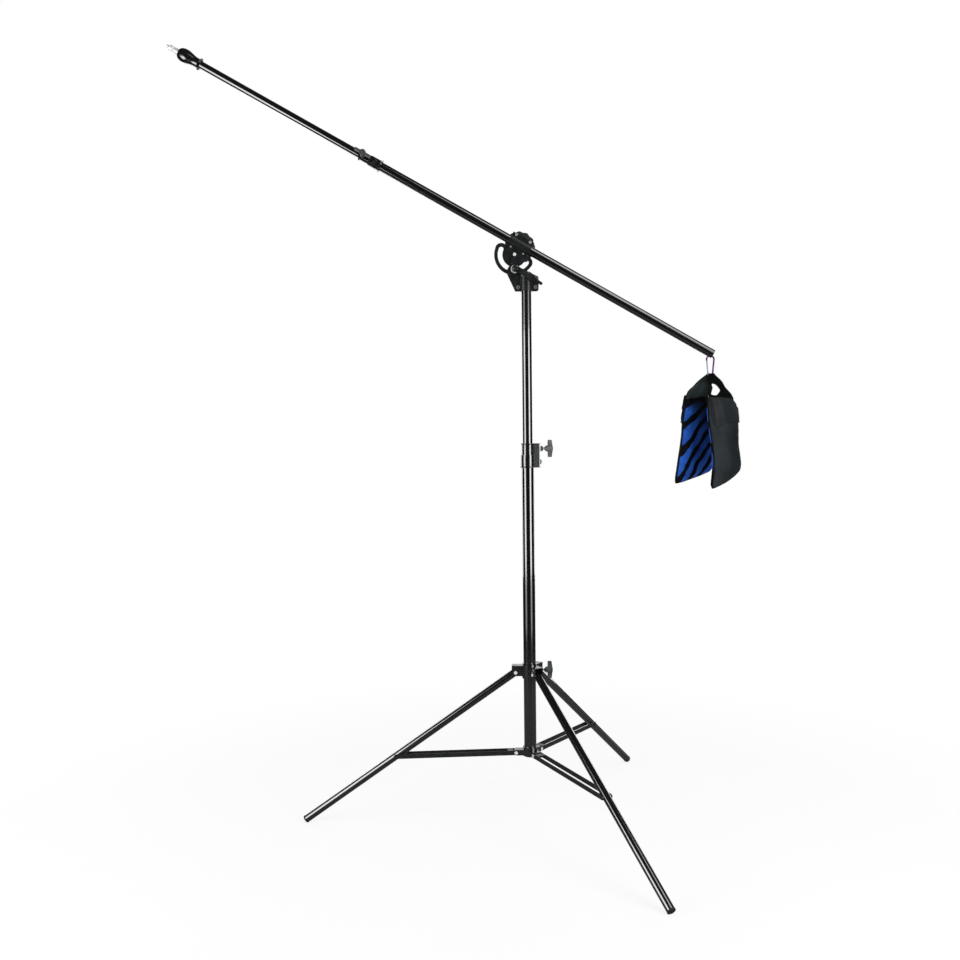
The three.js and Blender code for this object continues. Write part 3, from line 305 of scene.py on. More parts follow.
def turned_steel(name, along):
    """Turned stud: rings cut across its length, and a soft satin shine."""
    finish = Finish(name, metallic=0.4)
    rings = finish.noise(3200.0, 1.0, finish.stretched((0.0, 0.0, 1.0), along))
    wear = finish.noise(90.0)
    finish.colour(finish.ramp(wear, 0.3, 0.8, (0.72, 0.72, 0.73), (0.9, 0.9, 0.91)))
    finish.roughness(finish.span(wear, 0.3, 0.4))
    finish.bump(rings, 0.03, 0.0002)
    return finish.material


def moulded_plastic(name, dark, light, rough_low, rough_high):
    """Moulded plastic with a fine spark-eroded grain."""
    finish = Finish(name, specular=0.4)
    wear = finish.noise(45.0)
    finish.colour(finish.ramp(wear, 0.3, 0.8, dark, light))
    finish.roughness(finish.span(wear, rough_low, rough_high))
    finish.bump(finish.noise(2200.0, 2.0), 0.2, 0.0003)
    return finish.material


def anodised(name, dark, light):
    """Dyed aluminium with fine drawing marks."""
    finish = Finish(name, metallic=1.0)
    marks = finish.noise(1800.0, 2.0)
    finish.colour(finish.ramp(finish.noise(90.0), 0.3, 0.8, dark, light))
    finish.roughness(finish.span(marks, 0.2, 0.36))
    finish.bump(marks, 0.04, 0.0002)
    return finish.material


def woven(finish, thread, strength):
    """Bump of a plain weave whose threads are this many metres apart."""
    crossing = finish.maths("MULTIPLY", *(finish.bands(way, thread, 0.6, 1.0) for way in ("X", "Z")))
    weave = finish.weigh(crossing, finish.noise(900.0, 3.0), 0.5)
    finish.bump(weave, strength, thread * 0.35)
    return weave


def cloth_finish(name, dark, light, thread=THREAD_PITCH, strength=0.5, with_painted_shade=False):
    """Coarse woven nylon, slightly worn and faded. With painted shade on, it darkens to its right and lower side and
    lightens a little to its left, as painted light and shade.
    """
    finish = Finish(name, specular=CLOTH_SPECULAR)
    finish.sheen(*CLOTH_SHEEN)
    weave = woven(finish, thread, strength)
    broad = finish.maths("MULTIPLY", finish.noise(9.0, 3.0), 0.7)
    patches = finish.weigh(finish.weigh(broad, finish.noise(22.0, 5.0), 0.4), weave, 0.18)
    colour = finish.ramp(patches, 0.4, 0.88, dark, light)
    if with_painted_shade:
        # Painted shade: darker toward the right and lower side, and painted light a little lighter toward the left
        x, _, z = finish.axes()
        painted_side_shade = finish.share(finish.weigh(x, z, -0.4), 0.03, 0.09, smooth=True)
        colour = finish.mix(1.0, colour, finish.mix(painted_side_shade, (1.06, 1.06, 1.06), (0.62, 0.66, 0.68)), "MULTIPLY")
    finish.colour(colour)
    finish.roughness(finish.span(finish.noise(35.0), 0.62, 0.85))
    return finish.material


def webbing_finish(name, dark, light):
    """Ribbed webbing and binding tape."""
    finish = Finish(name, specular=CLOTH_SPECULAR)
    finish.sheen(*CLOTH_SHEEN)
    ribs = finish.bands("Z", RIB_PITCH, 1.0, 2.0)
    finish.colour(finish.ramp(finish.weigh(finish.noise(30.0), ribs, 0.15), 0.35, 0.85, dark, light))
    finish.roughness(finish.span(finish.noise(40.0, 3.0), 0.5, 0.75))
    finish.bump(ribs, 0.5, 0.0004)
    return finish.material


def zebra_finish(name, offset):
    """Blue nylon with black zebra stripes that rise to one side and steepen lower down. Painted shade darkens the
    blue toward its upper right, and a painted shade band turns its top near black.
    """
    finish = Finish(name, specular=CLOTH_SPECULAR)
    finish.sheen(*CLOTH_SHEEN)
    woven(finish, THREAD_PITCH, 0.4)
    x, _, z = finish.axes()
    height = finish.weigh(z, x, STRIPE_SLOPE)
    height = finish.weigh(height, finish.maths("MULTIPLY", x, z), STRIPE_BEND)
    height = finish.weigh(height, finish.maths("MULTIPLY", z, z), STRIPE_LIFT)
    phase = finish.maths("MULTIPLY", height, 2 * math.pi / STRIPE_PITCH)
    phase = finish.maths("ADD", finish.weigh(phase, finish.noise(12.5, 1.5), 5.6), offset)
    stripe = finish.weigh(finish.maths("SINE", phase, 0.0), finish.noise(19.0, 1.0), 1.2)
    black = finish.ramp(stripe, 0.72, 0.82, (0.0, 0.0, 0.0), (1.0, 1.0, 1.0))
    blue = finish.ramp(finish.noise(16.0), 0.3, 0.75, (0.006, 0.036, 0.21), (0.021, 0.105, 0.47))
    # Painted shade: the blue darkens toward its upper right
    painted_top_shade = finish.share(finish.weigh(z, x, 0.6), -0.095, -0.045, most=0.8, smooth=True)
    blue = finish.mix(painted_top_shade, blue, (0.002, 0.009, 0.02))
    # Black stripes, and a painted shade band that turns the top near black
    stripes_and_painted_shade = finish.maths("MAXIMUM", black, finish.share(z, -0.034, -0.014))
    finish.colour(finish.mix(stripes_and_painted_shade, blue, (0.0018, 0.002, 0.0026)))
    finish.roughness(finish.span(finish.noise(35.0), 0.5, 0.75))
    return finish.material


STEEL = bright_steel()
ZINC = bright_steel("zinc_cap", (0.62, 0.63, 0.64), (0.85, 0.86, 0.87), (0.3, 0.42), 0.35)
DULL_STEEL = bright_steel("dull_steel", (0.12, 0.12, 0.125), (0.26, 0.26, 0.27), (0.3, 0.5), 0.6)
GATE_STEEL = bright_steel("gate_steel", (0.16, 0.21, 0.25), (0.3, 0.37, 0.42), (0.3, 0.45), 0.3)
COAT = powder_coat()
SATIN = powder_coat("satin_black", (0.0022, 0.0026, 0.0028), (0.008, 0.009, 0.0098), (0.34, 0.5), 0.35)
GLOSS = gloss_coat()
# Gloss coat of the column's collar, with painted highlight and painted shade bands on its satin block
COLLAR_GLOSS_PAINTED_LIGHT = gloss_coat("collar_gloss_painted_light", COLUMN.x + 16.0 * MM)
# Near black painted shade for the bolts' hex sockets
SOCKET_PAINTED_SHADE = powder_coat("socket_painted_shade", (0.001, 0.001, 0.001), (0.003, 0.003, 0.003))
KNOB = moulded_plastic("knob_plastic", (0.067, 0.0705, 0.0705), (0.122, 0.128, 0.128), 0.34, 0.5)
DARK_KNOB = moulded_plastic("dark_knob_plastic", (0.030, 0.034, 0.034), (0.07, 0.077, 0.077), 0.34, 0.5)
STAR = moulded_plastic("star_plastic", (0.015, 0.0165, 0.018), (0.040, 0.043, 0.046), 0.18, 0.3)
BUSH = moulded_plastic("bush_plastic", (0.006, 0.006, 0.0065), (0.014, 0.014, 0.015), 0.4, 0.6)
RUBBER = moulded_plastic("foot_rubber", (0.005, 0.005, 0.005), (0.012, 0.012, 0.012), 0.6, 0.8)
VIOLET = anodised("violet_anodised", (0.09, 0.018, 0.12), (0.17, 0.035, 0.22))
UPRIGHT_PAINT = tube_paint("column_paint", Z_AXIS)
BOOM_PAINT = tube_paint("boom_paint", REARWARD)
SPIGOT_STEEL = turned_steel("spigot_steel", REARWARD)
# Outer cloth of both pouches, with painted shade toward their right and lower side
CHARCOAL = cloth_finish("charcoal_nylon", (0.0062, 0.0082, 0.0095), (0.0225, 0.0270, 0.0305), with_painted_shade=True)
CHARCOAL_FLAP = cloth_finish("charcoal_flap", (0.0056, 0.0074, 0.0084), (0.0160, 0.0195, 0.0218))
WEB_CLOTH = cloth_finish("web_nylon", (0.0145, 0.0205, 0.0220), (0.027, 0.037, 0.0385), 1.1 * MM, 0.4)
WEB_BLACK = cloth_finish("web_black_nylon", (0.0002, 0.0003, 0.0003), (0.0006, 0.0008, 0.0009), 1.1 * MM, 0.4)
PATCH = webbing_finish("webbing_patch", (0.0150, 0.0156, 0.0168), (0.029, 0.0302, 0.0325))
TAPE = webbing_finish("binding_tape", (0.002, 0.002, 0.0022), (0.0055, 0.0055, 0.006))
PIPING = webbing_finish("black_piping", (0.0015, 0.0015, 0.0018), (0.004, 0.004, 0.0045))
THREAD = cloth_finish("stitch_thread", (0.016, 0.016, 0.0175), (0.035, 0.035, 0.038), 0.5 * MM, 0.3)
ZEBRA_NEAR = zebra_finish("zebra_near", 0.9)
ZEBRA_FAR = zebra_finish("zebra_far", 2.6)


# CAD nodes that are shown as they are, with eased edges

EDGE_SHARP = math.radians(36)
CARABINER_SHARP = math.radians(50)
WELD_REACH = 0.01 * MM
FLAT_ANGLE = math.radians(0.5)


def dress(name, material, edge=0.0, sharp=EDGE_SHARP):
    """Give a CAD node its material, smooth shading on its round sides and worn-round edges."""
    node = nodes[name]
    node.data.materials.clear()
    node.data.materials.append(material)
    node.data.shade_smooth()
    weld = node.modifiers.new("weld", "WELD")
    weld.merge_threshold = WELD_REACH
    flats = node.modifiers.new("flats", "DECIMATE")
    flats.decimate_type = "DISSOLVE"
    flats.angle_limit = FLAT_ANGLE
    if edge:
        bevel = node.modifiers.new("edge", "BEVEL")
        bevel.width = edge * MM
        bevel.segments = 3
        bevel.limit_method = "ANGLE"
        bevel.angle_limit = sharp
    split = node.modifiers.new("split", "EDGE_SPLIT")
    split.split_angle = sharp
    normals = node.modifiers.new("normals", "WEIGHTED_NORMAL")
    normals.mode = "FACE_AREA"


for side in SIDES:
    leg_direction = (middle(f"foot_cap_{side}") - joint_place(f"leg_{side}_fold")).normalized()
    dress(f"leg_tube_{side}", tube_paint(f"leg_paint_{side}", leg_direction))
    dress(f"brace_{side}", COAT, 0.4)
    dress(f"foot_cap_{side}", RUBBER, 0.5)
    dress(f"leg_bush_{side}", STEEL)
    dress(f"upper_pin_{side}", ZINC, 0.4)
    dress(f"lower_pin_{side}", ZINC, 0.4)
# Material, edge radius in millimetres, and the nodes that have them
for material, edge, names in (
    (UPRIGHT_PAINT, 0.0, ("lower_column_tube", "mast_tube")),
    (BOOM_PAINT, 0.0, ("boom_outer_tube", "boom_inner_tube")),
    (GLOSS, 0.5, ("upper_hub", "lower_hub", "boom_collar", "boom_head")),
    (COLLAR_GLOSS_PAINTED_LIGHT, 0.5, ("column_collar",)),
    (COAT, 0.5, ("bracket_front_plate", "bracket_rear_plate", "dial_plate", "lock_lever")),
    (COAT, 0.3, ("boom_collar_screw",)),
    (SATIN, 0.4, ("boom_clamp_front", "boom_clamp_rear")),
    (KNOB, 0.8, ("column_knob",)),
    (DARK_KNOB, 0.8, ("tripod_knob", "boom_knob")),
    (STAR, 0.8, ("clamp_knob",)),
    (BUSH, 0.0, ("mast_guide_bush", "boom_guide_bush")),
    (STEEL, 0.3, ("column_knob_screw", "tripod_knob_screw", "boom_knob_screw", "clamp_knob_screw")),
    (STEEL, 0.3, ("dial_rivet_front", "dial_rivet_rear", "clamp_screw_front", "clamp_screw_rear", "lock_bolt")),
    (ZINC, 0.3, ("pivot_bolt",)),
    (DULL_STEEL, 0.3, ("column_collar_screw", "bracket_bolt_left", "bracket_bolt_right", "bracket_bolt_high")),
    (SPIGOT_STEEL, 0.3, ("spigot",)),
):
    for name in names:
        dress(name, material, edge)
dress("carabiner_frame", VIOLET, sharp=CARABINER_SHARP)
dress("carabiner_gate", GATE_STEEL, sharp=CARABINER_SHARP)


# Mesh tools for the pieces made here

TAPE_SIDES = 10
STITCH_PITCH = 4.2 * MM
STITCH_LENGTH = 2.7 * MM
STITCH_RADIUS = 0.42 * MM
STITCH_PROFILE = ((0.0, 0.2), (0.25, 1.0), (0.75, 1.0), (1.0, 0.2))  # share of its length, and rise
STITCH_SINK = 0.4


def add_piece(name, points, faces, material, body, matrix=None, smooth=True):
    mesh = bpy.data.meshes.new(name)
    mesh.from_pydata([tuple(p) for p in points], [], faces)
    mesh.update()
    mesh.materials.append(material)
    if smooth:
        mesh.shade_smooth()
    piece = bpy.data.objects.new(name, mesh)
    scene.collection.objects.link(piece)
    if matrix is not None:
        piece.matrix_world = matrix
    if body is not None:
        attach(piece, body)
    return piece


def refine(piece):
    finer = piece.modifiers.new("finer", "SUBSURF")
    finer.levels = 1
    finer.render_levels = 1


def add_sheet(name, points, faces, material, matrix, thickness):
    """Rounded sheet of cloth on the bag's body, with half its thickness on each side of the faces."""
    piece = add_piece(name, points, faces, material, None, matrix)
    wall = piece.modifiers.new("wall", "SOLIDIFY")
    wall.thickness = thickness
    wall.offset = 0.0
    refine(piece)
    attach(piece, "bag")
    return piece


def turned_over(faces, flip):
    return [face[::-1] for face in faces] if flip else faces


def ring_faces(rings, sides, start=0, closed=False, flip=False):
    """Faces between each ring of points and the next one."""
    faces = []
    for i in range(rings if closed else rings - 1):
        a = start + i * sides
        b = start + (i + 1) % rings * sides
        for k in range(sides):
            m = (k + 1) % sides
            faces.append((a + k, a + m, b + m, b + k))
    return turned_over(faces, flip)


def ring_caps(rings, sides, start=0):
    """One face over the first ring of points, and one over the last."""
    last = start + (rings - 1) * sides
    return [tuple(range(start + sides - 1, start - 1, -1)), tuple(range(last, last + sides))]


def fan_faces(first, sides, tip, flip=False):
    """Triangles between a ring of points and its middle."""
    return turned_over([(first + k, first + (k + 1) % sides, tip) for k in range(sides)], flip)


def grid_faces(columns, rows, flip=False):
    wide = columns + 1
    corners = [j * wide + i for j in range(rows) for i in range(columns)]
    return turned_over([(a, a + 1, a + wide + 1, a + wide) for a in corners], flip)


def lathe(place, side, up, axis, profile, sides, phase=0.0):
    """Rings of points round an axis. The profile gives their radii and heights in millimetres."""
    points = []
    for radius, height in profile:
        for k in range(sides):
            angle = phase + 2 * math.pi * k / sides
            outward = side * math.cos(angle) + up * math.sin(angle)
            points.append(place + (outward * radius + axis * height) * MM)
    return points


def tape_mesh(path, wide, thick, across, closed=False):
    """Tube of flattened round section along a path. across gives its wide direction."""
    points = []
    count = len(path)
    for i, place in enumerate(path):
        before = path[i - 1] if closed or i else path[0]
        after = path[(i + 1) % count] if closed or i + 1 < count else path[-1]
        along = (after - before).normalized()
        side = (across - along * across.dot(along)).normalized()
        up = along.cross(side)
        for k in range(TAPE_SIDES):
            angle = 2 * math.pi * k / TAPE_SIDES
            points.append(place + side * (wide * math.cos(angle)) + up * (thick * math.sin(angle)))
    caps = [] if closed else ring_caps(count, TAPE_SIDES)
    return points, ring_faces(count, TAPE_SIDES, closed=closed) + caps


def smooth_line(points, steps=8):
    """Catmull-Rom line through these points."""
    line = []
    for i in range(len(points) - 1):
        a = points[max(i - 1, 0)]
        b = points[i]
        c = points[i + 1]
        d = points[min(i + 2, len(points) - 1)]
        for k in range(steps):
            t = k / steps
            line.append(
                ((2 * b) + (c - a) * t + (2 * a - 5 * b + 4 * c - d) * t * t
                 + (3 * b - 3 * c + d - a) * t ** 3) / 2
            )
    line.append(points[-1])
    return line


def evenly(line, gap, closed=False):
    """Points this far apart along a line."""
    run = line + [line[0]] if closed else line
    lengths = [0.0]
    for a, b in zip(run, run[1:]):
        lengths.append(lengths[-1] + (b - a).length)
    count = max(2, round(lengths[-1] / gap))
    places = []
    k = 0
    last = count if closed else count + 1
    for i in range(last):
        goal = lengths[-1] * i / count
        while k + 1 < len(lengths) - 1 and lengths[k + 1] < goal:
            k += 1
        share = (goal - lengths[k]) / max(lengths[k + 1] - lengths[k], 1e-9)
        places.append(run[k].lerp(run[k + 1], share))
    return places


def stitch_row(line, normal):
    """Row of thread stitches along a line, lying on a surface with this normal."""
    points = []
    faces = []
    path = evenly(line, STITCH_PITCH)
    for place, after in zip(path, path[1:]):
        along = (after - place).normalized()
        side = normal.cross(along).normalized()
        start = len(points)
        for share, rise in STITCH_PROFILE:
            centre = place + along * (STITCH_LENGTH * share)
            for k in range(6):
                angle = math.pi * k / 3
                lift = math.sin(angle) + rise - STITCH_SINK
                points.append(centre + side * (STITCH_RADIUS * math.cos(angle)) + normal * (STITCH_RADIUS * lift))
        faces += ring_faces(4, 6, start) + ring_caps(4, 6, start)
    return points, faces


# Counterweight bag: two stuffed pouches, two webs and a loop over the carabiner's foot

BAG = joint_place("bag_swing")
BAG_TURN = math.radians(46)
POUCH_DROP = 55.6 * MM
POUCH_SPREAD = 37 * MM
POUCH_SPLAY = math.radians(4.7)
FAR_SLACK = math.radians(4)
FAR_ROLL = math.radians(3.2)
FAR_SHIFT = Vector((8, 0, 5)) * MM
POUCH_EDGE = 5.2 * MM
POUCH_SWELL = 6.0 * MM
POUCH_VOXEL = 4.2 * MM
POUCH_CENTRE = Vector((0.0, -120.0)) * MM
OUTLINE_PITCH = 5 * MM
SEAM_OFFSET = 0.6 * MM

# Share of the way out from the middle, and share of the swell
POUCH_RINGS = (
    (1.0, 0.0), (0.97, 0.35), (0.93, 0.58), (0.86, 0.8), (0.74, 0.94), (0.56, 1.0), (0.36, 1.02), (0.16, 1.02),
)
TAPER_LENGTH = 34 * MM
SAG_LENGTH = 240 * MM

# The cloth simulation, and how far it may move a point
SWELL_CLOTH = {
    "quality": 6,
    "mass": 0.25,
    "tension_stiffness": 12,
    "compression_stiffness": 6,
    "shear_stiffness": 4,
    "bending_stiffness": 0.35,
    "shrink_min": -0.035,
    "use_pressure": True,
    "uniform_pressure_force": 3.2,
}
SWELL_STEPS = 20
SWELL_CAP = 4.5 * MM
SEAM_HOLD = 9 * MM
TOP_HOLD = -10 * MM

# Outlines in millimetres from the top middle, one list for each side
POUCH_OUTLINES = {
    "near": (
        [(-72, 0), (-74.5, -14), (-73.6, -66), (-69.5, -100), (-65, -137), (-63.5, -163), (-68, -205), (-83.5, -252)],
        [
            (-83.5, -252), (-66, -249.5), (-46, -245.6), (-25, -241), (-3, -235.7),
            (31, -224.5), (55, -214), (66, -205), (68.5, -193),
        ],
        [
            (68.5, -193), (69.2, -178), (65.5, -150), (64.5, -130), (69, -96),
            (71.2, -68), (70, -30), (64, -13), (50, -2.5), (40, 0),
        ],
        [(40, 0), (0, 0.5), (-40, 0.5), (-72, 0)],
    ),
    "far": (
        [(-58, 0), (-63, -18), (-69, -66), (-66, -112), (-67, -150), (-70, -190), (-73, -236), (-74.5, -251)],
        [(-74.5, -251), (-60, -249), (-46, -246.5), (-17, -239.5), (33, -227), (58, -219.5), (79, -213), (84, -206)],
        [
            (84, -206), (84, -186), (80, -150), (75, -118), (72, -92),
            (71, -60), (70, -28), (65, -12), (52, -2), (40, 0),
        ],
        [(40, 0), (0, 0.5), (-40, 0.5), (-58, 0)],
    ),
}

PIPING_RADIUS = 1.7 * MM
PIPING_ENDS = Vector((-66, -4)) * MM, Vector((58, -7)) * MM

# Flap and patch, in millimetres on the pouch's face
FLAP_LEFT = -71.5
FLAP_RIGHT = 48
FLAP_WIDENING = 24.0
FLAP_TOP = -2 * MM
FLAP_LOW = 76
FLAP_RISE = 3
FLAP_CORNER = 5 * MM
PATCH_LEFT = -64
PATCH_WIDTH = 40
PATCH_LENGTH = 81
PATCH_CORNER = 3

# Stitch rows on them: their places, and their lift off the pouch
POUCH_STITCHES = {
    "flap": ([(x, -71) for x in range(-22, 64, 2)], 2.1),
    "patch_left": ([(-61.5, z) for z in range(-6, -77, -2)], 3.6),
    "patch_right": ([(-26.5, z) for z in range(-6, -77, -2)], 3.6),
    "patch_low": ([(x, -77) for x in range(-61, -27, 2)], 3.6),
}


def pouch_matrix(side):
    turn = Matrix.Rotation(BAG_TURN, 4, "Z")
    shift = Matrix.Translation((0, side * POUCH_SPREAD, 0))
    lean = Matrix.Rotation(side * POUCH_SPLAY, 4, "X")
    hang = Matrix.Translation(BAG - Z_AXIS * POUCH_DROP) @ turn @ shift @ lean
    if side > 0:
        hang = hang @ Matrix.Translation(FAR_SHIFT) @ Matrix.Rotation(-FAR_SLACK, 4, "Z")
        hang = hang @ Matrix.Rotation(FAR_ROLL, 4, "Y")
    return hang


def pouch_outline(which):
    line = []
    for section in POUCH_OUTLINES[which]:
        line += smooth_line([Vector(p) * MM for p in section])[:-1]
    return evenly(line, OUTLINE_PITCH, closed=True)


def pouch_body(which):
    """Closed pillow between two flat-sewn faces, as rings from its seam to its middle."""
    outline = pouch_outline(which)
    count = len(outline)
    rings = len(POUCH_RINGS)
    points = []
    faces = []
    for way in (1, -1):
        start = len(points)
        for share, swell in POUCH_RINGS:
            for p in outline:
                q = POUCH_CENTRE + (p - POUCH_CENTRE) * share
                taper = 0.4 + 0.6 * min(1.0, max(0.0, -q.y / TAPER_LENGTH))
                sag = 0.86 + 0.24 * min(1.0, -q.y / SAG_LENGTH) if q.y < 0 else 0.86
                half = (POUCH_EDGE + POUCH_SWELL * swell * sag) * taper
                points.append(Vector((q.x, way * half, q.y)))
        points.append(Vector((POUCH_CENTRE.x, way * (POUCH_EDGE + POUCH_SWELL), POUCH_CENTRE.y)))
        faces += ring_faces(rings, count, start, flip=way < 0)
        faces += fan_faces(start + (rings - 1) * count, count, len(points) - 1, flip=way < 0)
    other = rings * count + 1
    for k in range(count):
        m = (k + 1) % count
        faces.append((k, other + k, other + m, m))
    return outline, points, faces


def apply_modifiers(piece):
    graph = bpy.context.evaluated_depsgraph_get()
    mesh = bpy.data.meshes.new_from_object(piece.evaluated_get(graph))
    old = piece.data
    piece.modifiers.clear()
    piece.data = mesh
    bpy.data.meshes.remove(old)


def near_outline(outline, x, z):
    """Distance from a point to a closed line, up to one metre."""
    best = 1.0
    point = Vector((x, z))
    for a, b in zip(outline, outline[1:] + outline[:1]):
        run = b - a
        share = max(0.0, min(1.0, (point - a).dot(run) / run.length_squared))
        best = min(best, (point - a - run * share).length)
    return best


def puff_up(piece, outline):
    """Remesh, then swell the piece under a little pressure, with its seam held."""
    remesh = piece.modifiers.new("even", "REMESH")
    remesh.mode = "VOXEL"
    remesh.voxel_size = POUCH_VOXEL
    apply_modifiers(piece)
    mesh = piece.data
    start = [v.co.copy() for v in mesh.vertices]
    group = piece.vertex_groups.new(name="seam")
    for i, place in enumerate(start):
        hold = max(0.0, 1.0 - near_outline(outline, place.x, place.z) / SEAM_HOLD)
        if place.z > TOP_HOLD:
            hold = 1.0
        if hold > 0.0:
            group.add([i], min(1.0, hold * 1.3), "REPLACE")
    cloth = piece.modifiers.new("swell", "CLOTH")
    for key, value in SWELL_CLOTH.items():
        setattr(cloth.settings, key, value)
    cloth.settings.vertex_group_mass = group.name
    cloth.settings.effector_weights.gravity = 0.0
    cloth.collision_settings.use_collision = False
    cloth.point_cache.frame_start = 1
    cloth.point_cache.frame_end = SWELL_STEPS + 2
    for step in range(1, SWELL_STEPS + 1):
        scene.frame_set(step)
    graph = bpy.context.evaluated_depsgraph_get()
    swollen = [v.co.copy() for v in piece.evaluated_get(graph).data.vertices]
    piece.modifiers.clear()
    for vertex, before, after in zip(mesh.vertices, start, swollen):
        move = after - before
        if move.length > SWELL_CAP:
            move *= SWELL_CAP / move.length
        vertex.co = before + move
    scene.frame_set(1)


def sewn_pouch(which, side, inside):
    """Stuffed pouch in charcoal cloth, with another cloth on the face that looks at the other pouch."""
    matrix = pouch_matrix(side)
    outline, points, faces = pouch_body(which)
    piece = add_piece(f"pouch_{which}", points, faces, CHARCOAL, None, matrix)
    puff_up(piece, outline)
    mesh = piece.data
    mesh.materials.clear()
    mesh.materials.append(CHARCOAL)
    mesh.materials.append(inside)
    mesh.update()
    for face in mesh.polygons:
        face.material_index = 1 if face.center.y * -side > SEAM_OFFSET else 0
    mesh.shade_smooth()
    tree = BVHTree.FromPolygons([v.co.copy() for v in mesh.vertices], [tuple(f.vertices) for f in mesh.polygons])
    refine(piece)
    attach(piece, "bag")
    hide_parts(f"bag_pouch_{which}")
    return outline, tree, matrix


def surface_y(tree, side, x, z):
    """Where a pouch's outer face is at this x and z, or nothing."""
    hit = tree.ray_cast(Vector((x, side * 0.1, z)), Y_AXIS * -side)[0]
    return None if hit is None else hit.y


def surface_sheet(name, tree, matrix, side, columns, rows, place, lift, material, thickness):
    """Sheet of cloth that lies on a pouch: place gives x and z from two shares."""
    grid = []
    for j in range(rows + 1):
        line = []
        for i in range(columns + 1):
            x, z = place(i / columns, j / rows)
            line.append([x, surface_y(tree, side, x, z), z])
        known = [p for p in line if p[1] is not None]
        for p in line:
            if p[1] is None:
                nearest = min(known, key=lambda q: abs(q[0] - p[0])) if known else None
                p[1] = nearest[1] if nearest else side * 5 * MM
        grid.append(line)
    for _ in range(3):
        for j in range(1, rows):
            for i in range(1, columns):
                mean = (grid[j - 1][i][1] + grid[j + 1][i][1] + grid[j][i - 1][1] + grid[j][i + 1][1]) / 4
                grid[j][i][1] = side * max(side * mean, side * grid[j][i][1] - 0.2 * MM)
    points = [Vector((p[0], p[1] + side * lift, p[2])) for line in grid for p in line]
    add_sheet(name, points, grid_faces(columns, rows, flip=side > 0), material, matrix, thickness)


def flap_place(u, v):
    """Place on the flap, which widens to the right and has cut corners."""
    left = (FLAP_LEFT + 0.5 * v) * MM
    right = (FLAP_RIGHT + FLAP_WIDENING * min(1.0, v * 2.2) ** 0.55) * MM
    low = -(FLAP_LOW - (FLAP_RISE if 0.03 < u < 0.97 else 0)) * MM
    bottom = low + FLAP_CORNER * max(0.0, 1 - min(u, 1 - u) / 0.05) ** 2
    return left + (right - left) * u, FLAP_TOP + (bottom - FLAP_TOP) * v


def patch_place(u, v):
    corner = max(0.0, 1 - min(u, 1 - u) / 0.12) ** 2
    return (PATCH_LEFT + PATCH_WIDTH * u) * MM, (-1 - (PATCH_LENGTH - PATCH_CORNER * corner) * v) * MM


def pouch_trim(which, side, outline, tree, matrix):
    """Piping round the seam, a flap, a strap patch and their stitching."""
    count = len(outline)
    start, end = PIPING_ENDS
    first = min(range(count), key=lambda k: (outline[k] - start).length)
    ordered = outline[first:] + outline[:first]
    last = min(range(count // 2, count), key=lambda k: (ordered[k] - end).length)
    seam = [Vector((p.x, 0.0, p.y)) for p in ordered[:last + 1]]
    seam = [p + (p - Z_AXIS * POUCH_CENTRE.y).normalized() * (0.6 * MM) for p in seam]
    piping = tape_mesh(seam, PIPING_RADIUS, PIPING_RADIUS, Y_AXIS)
    add_piece(f"piping_{which}", *piping, PIPING, "bag", matrix)
    surface_sheet(f"flap_{which}", tree, matrix, side, 34, 20, flap_place, 1.1 * MM, CHARCOAL_FLAP, 1.7 * MM)
    surface_sheet(f"strap_patch_{which}", tree, matrix, side, 10, 22, patch_place, 2.6 * MM, PATCH, 1.8 * MM)
    for label, (places, lift) in POUCH_STITCHES.items():
        line = []
        for x, z in places:
            y = surface_y(tree, side, x * MM, z * MM)
            line.append(Vector((x * MM, (side * 8 * MM if y is None else y) + side * lift * MM, z * MM)))
        add_piece(f"stitches_{label}_{which}", *stitch_row(line, Y_AXIS * side), THREAD, "bag", matrix)


for which, side, zebra in (("near", -1, ZEBRA_NEAR), ("far", 1, ZEBRA_FAR)):
    outline, tree, matrix = sewn_pouch(which, side, zebra)
    pouch_trim(which, side, outline, tree, matrix)


WEB_TOP = 13.0 * MM
WEB_FOOT = -56.5 * MM
WEB_FLARE = 0.42  # the top of a web leans away from the carabiner, which may swing 20 degrees
WEB_OUT = Vector((-math.sin(BAG_TURN), math.cos(BAG_TURN), 0))
WEB_THICKNESS = 2.2 * MM
WEB_STEPS = 26
WEB_SIDES = 96
WEB_RINGS = 10
LOOP_RADIUS = 6.2 * MM
LOOP_HALF = 3.1 * MM
LOOP_TAIL = 3 * MM

# Heights and distances from the middle line along the webs' edges, and places round the hand opening
WEB_EDGES = {
    ("near", -1): [(12, -3), (2, -12), (-12, -25), (-31, -43), (-44, -57), (-58, -64)],
    ("near", 1): [(12, 8), (3, 15), (-11, 29), (-31, 45), (-42, 56), (-50, 60), (-61, 60)],
    ("far", -1): [(13, -5), (6, -12), (-18, -42), (-30, -59), (-38, -68), (-48, -70), (-60, -67)],
    ("far", 1): [(13, 4), (2, 10), (-17, 24), (-31, 32), (-45, 38), (-62, 46)],
}
WEB_CENTRES = {"near": Vector((-20.0, -36.0)) * MM, "far": Vector((-14.0, -34.0)) * MM}
WEB_HOLE = [
    (-14, -16), (3, -18.5), (10.5, -35), (-8, -47), (-24, -52), (-43, -52), (-51, -48.5), (-40, -37.5), (-28, -28.5),
]


def eased(share):
    share = max(0.0, min(1.0, share))
    return share * share * (3 - 2 * share)


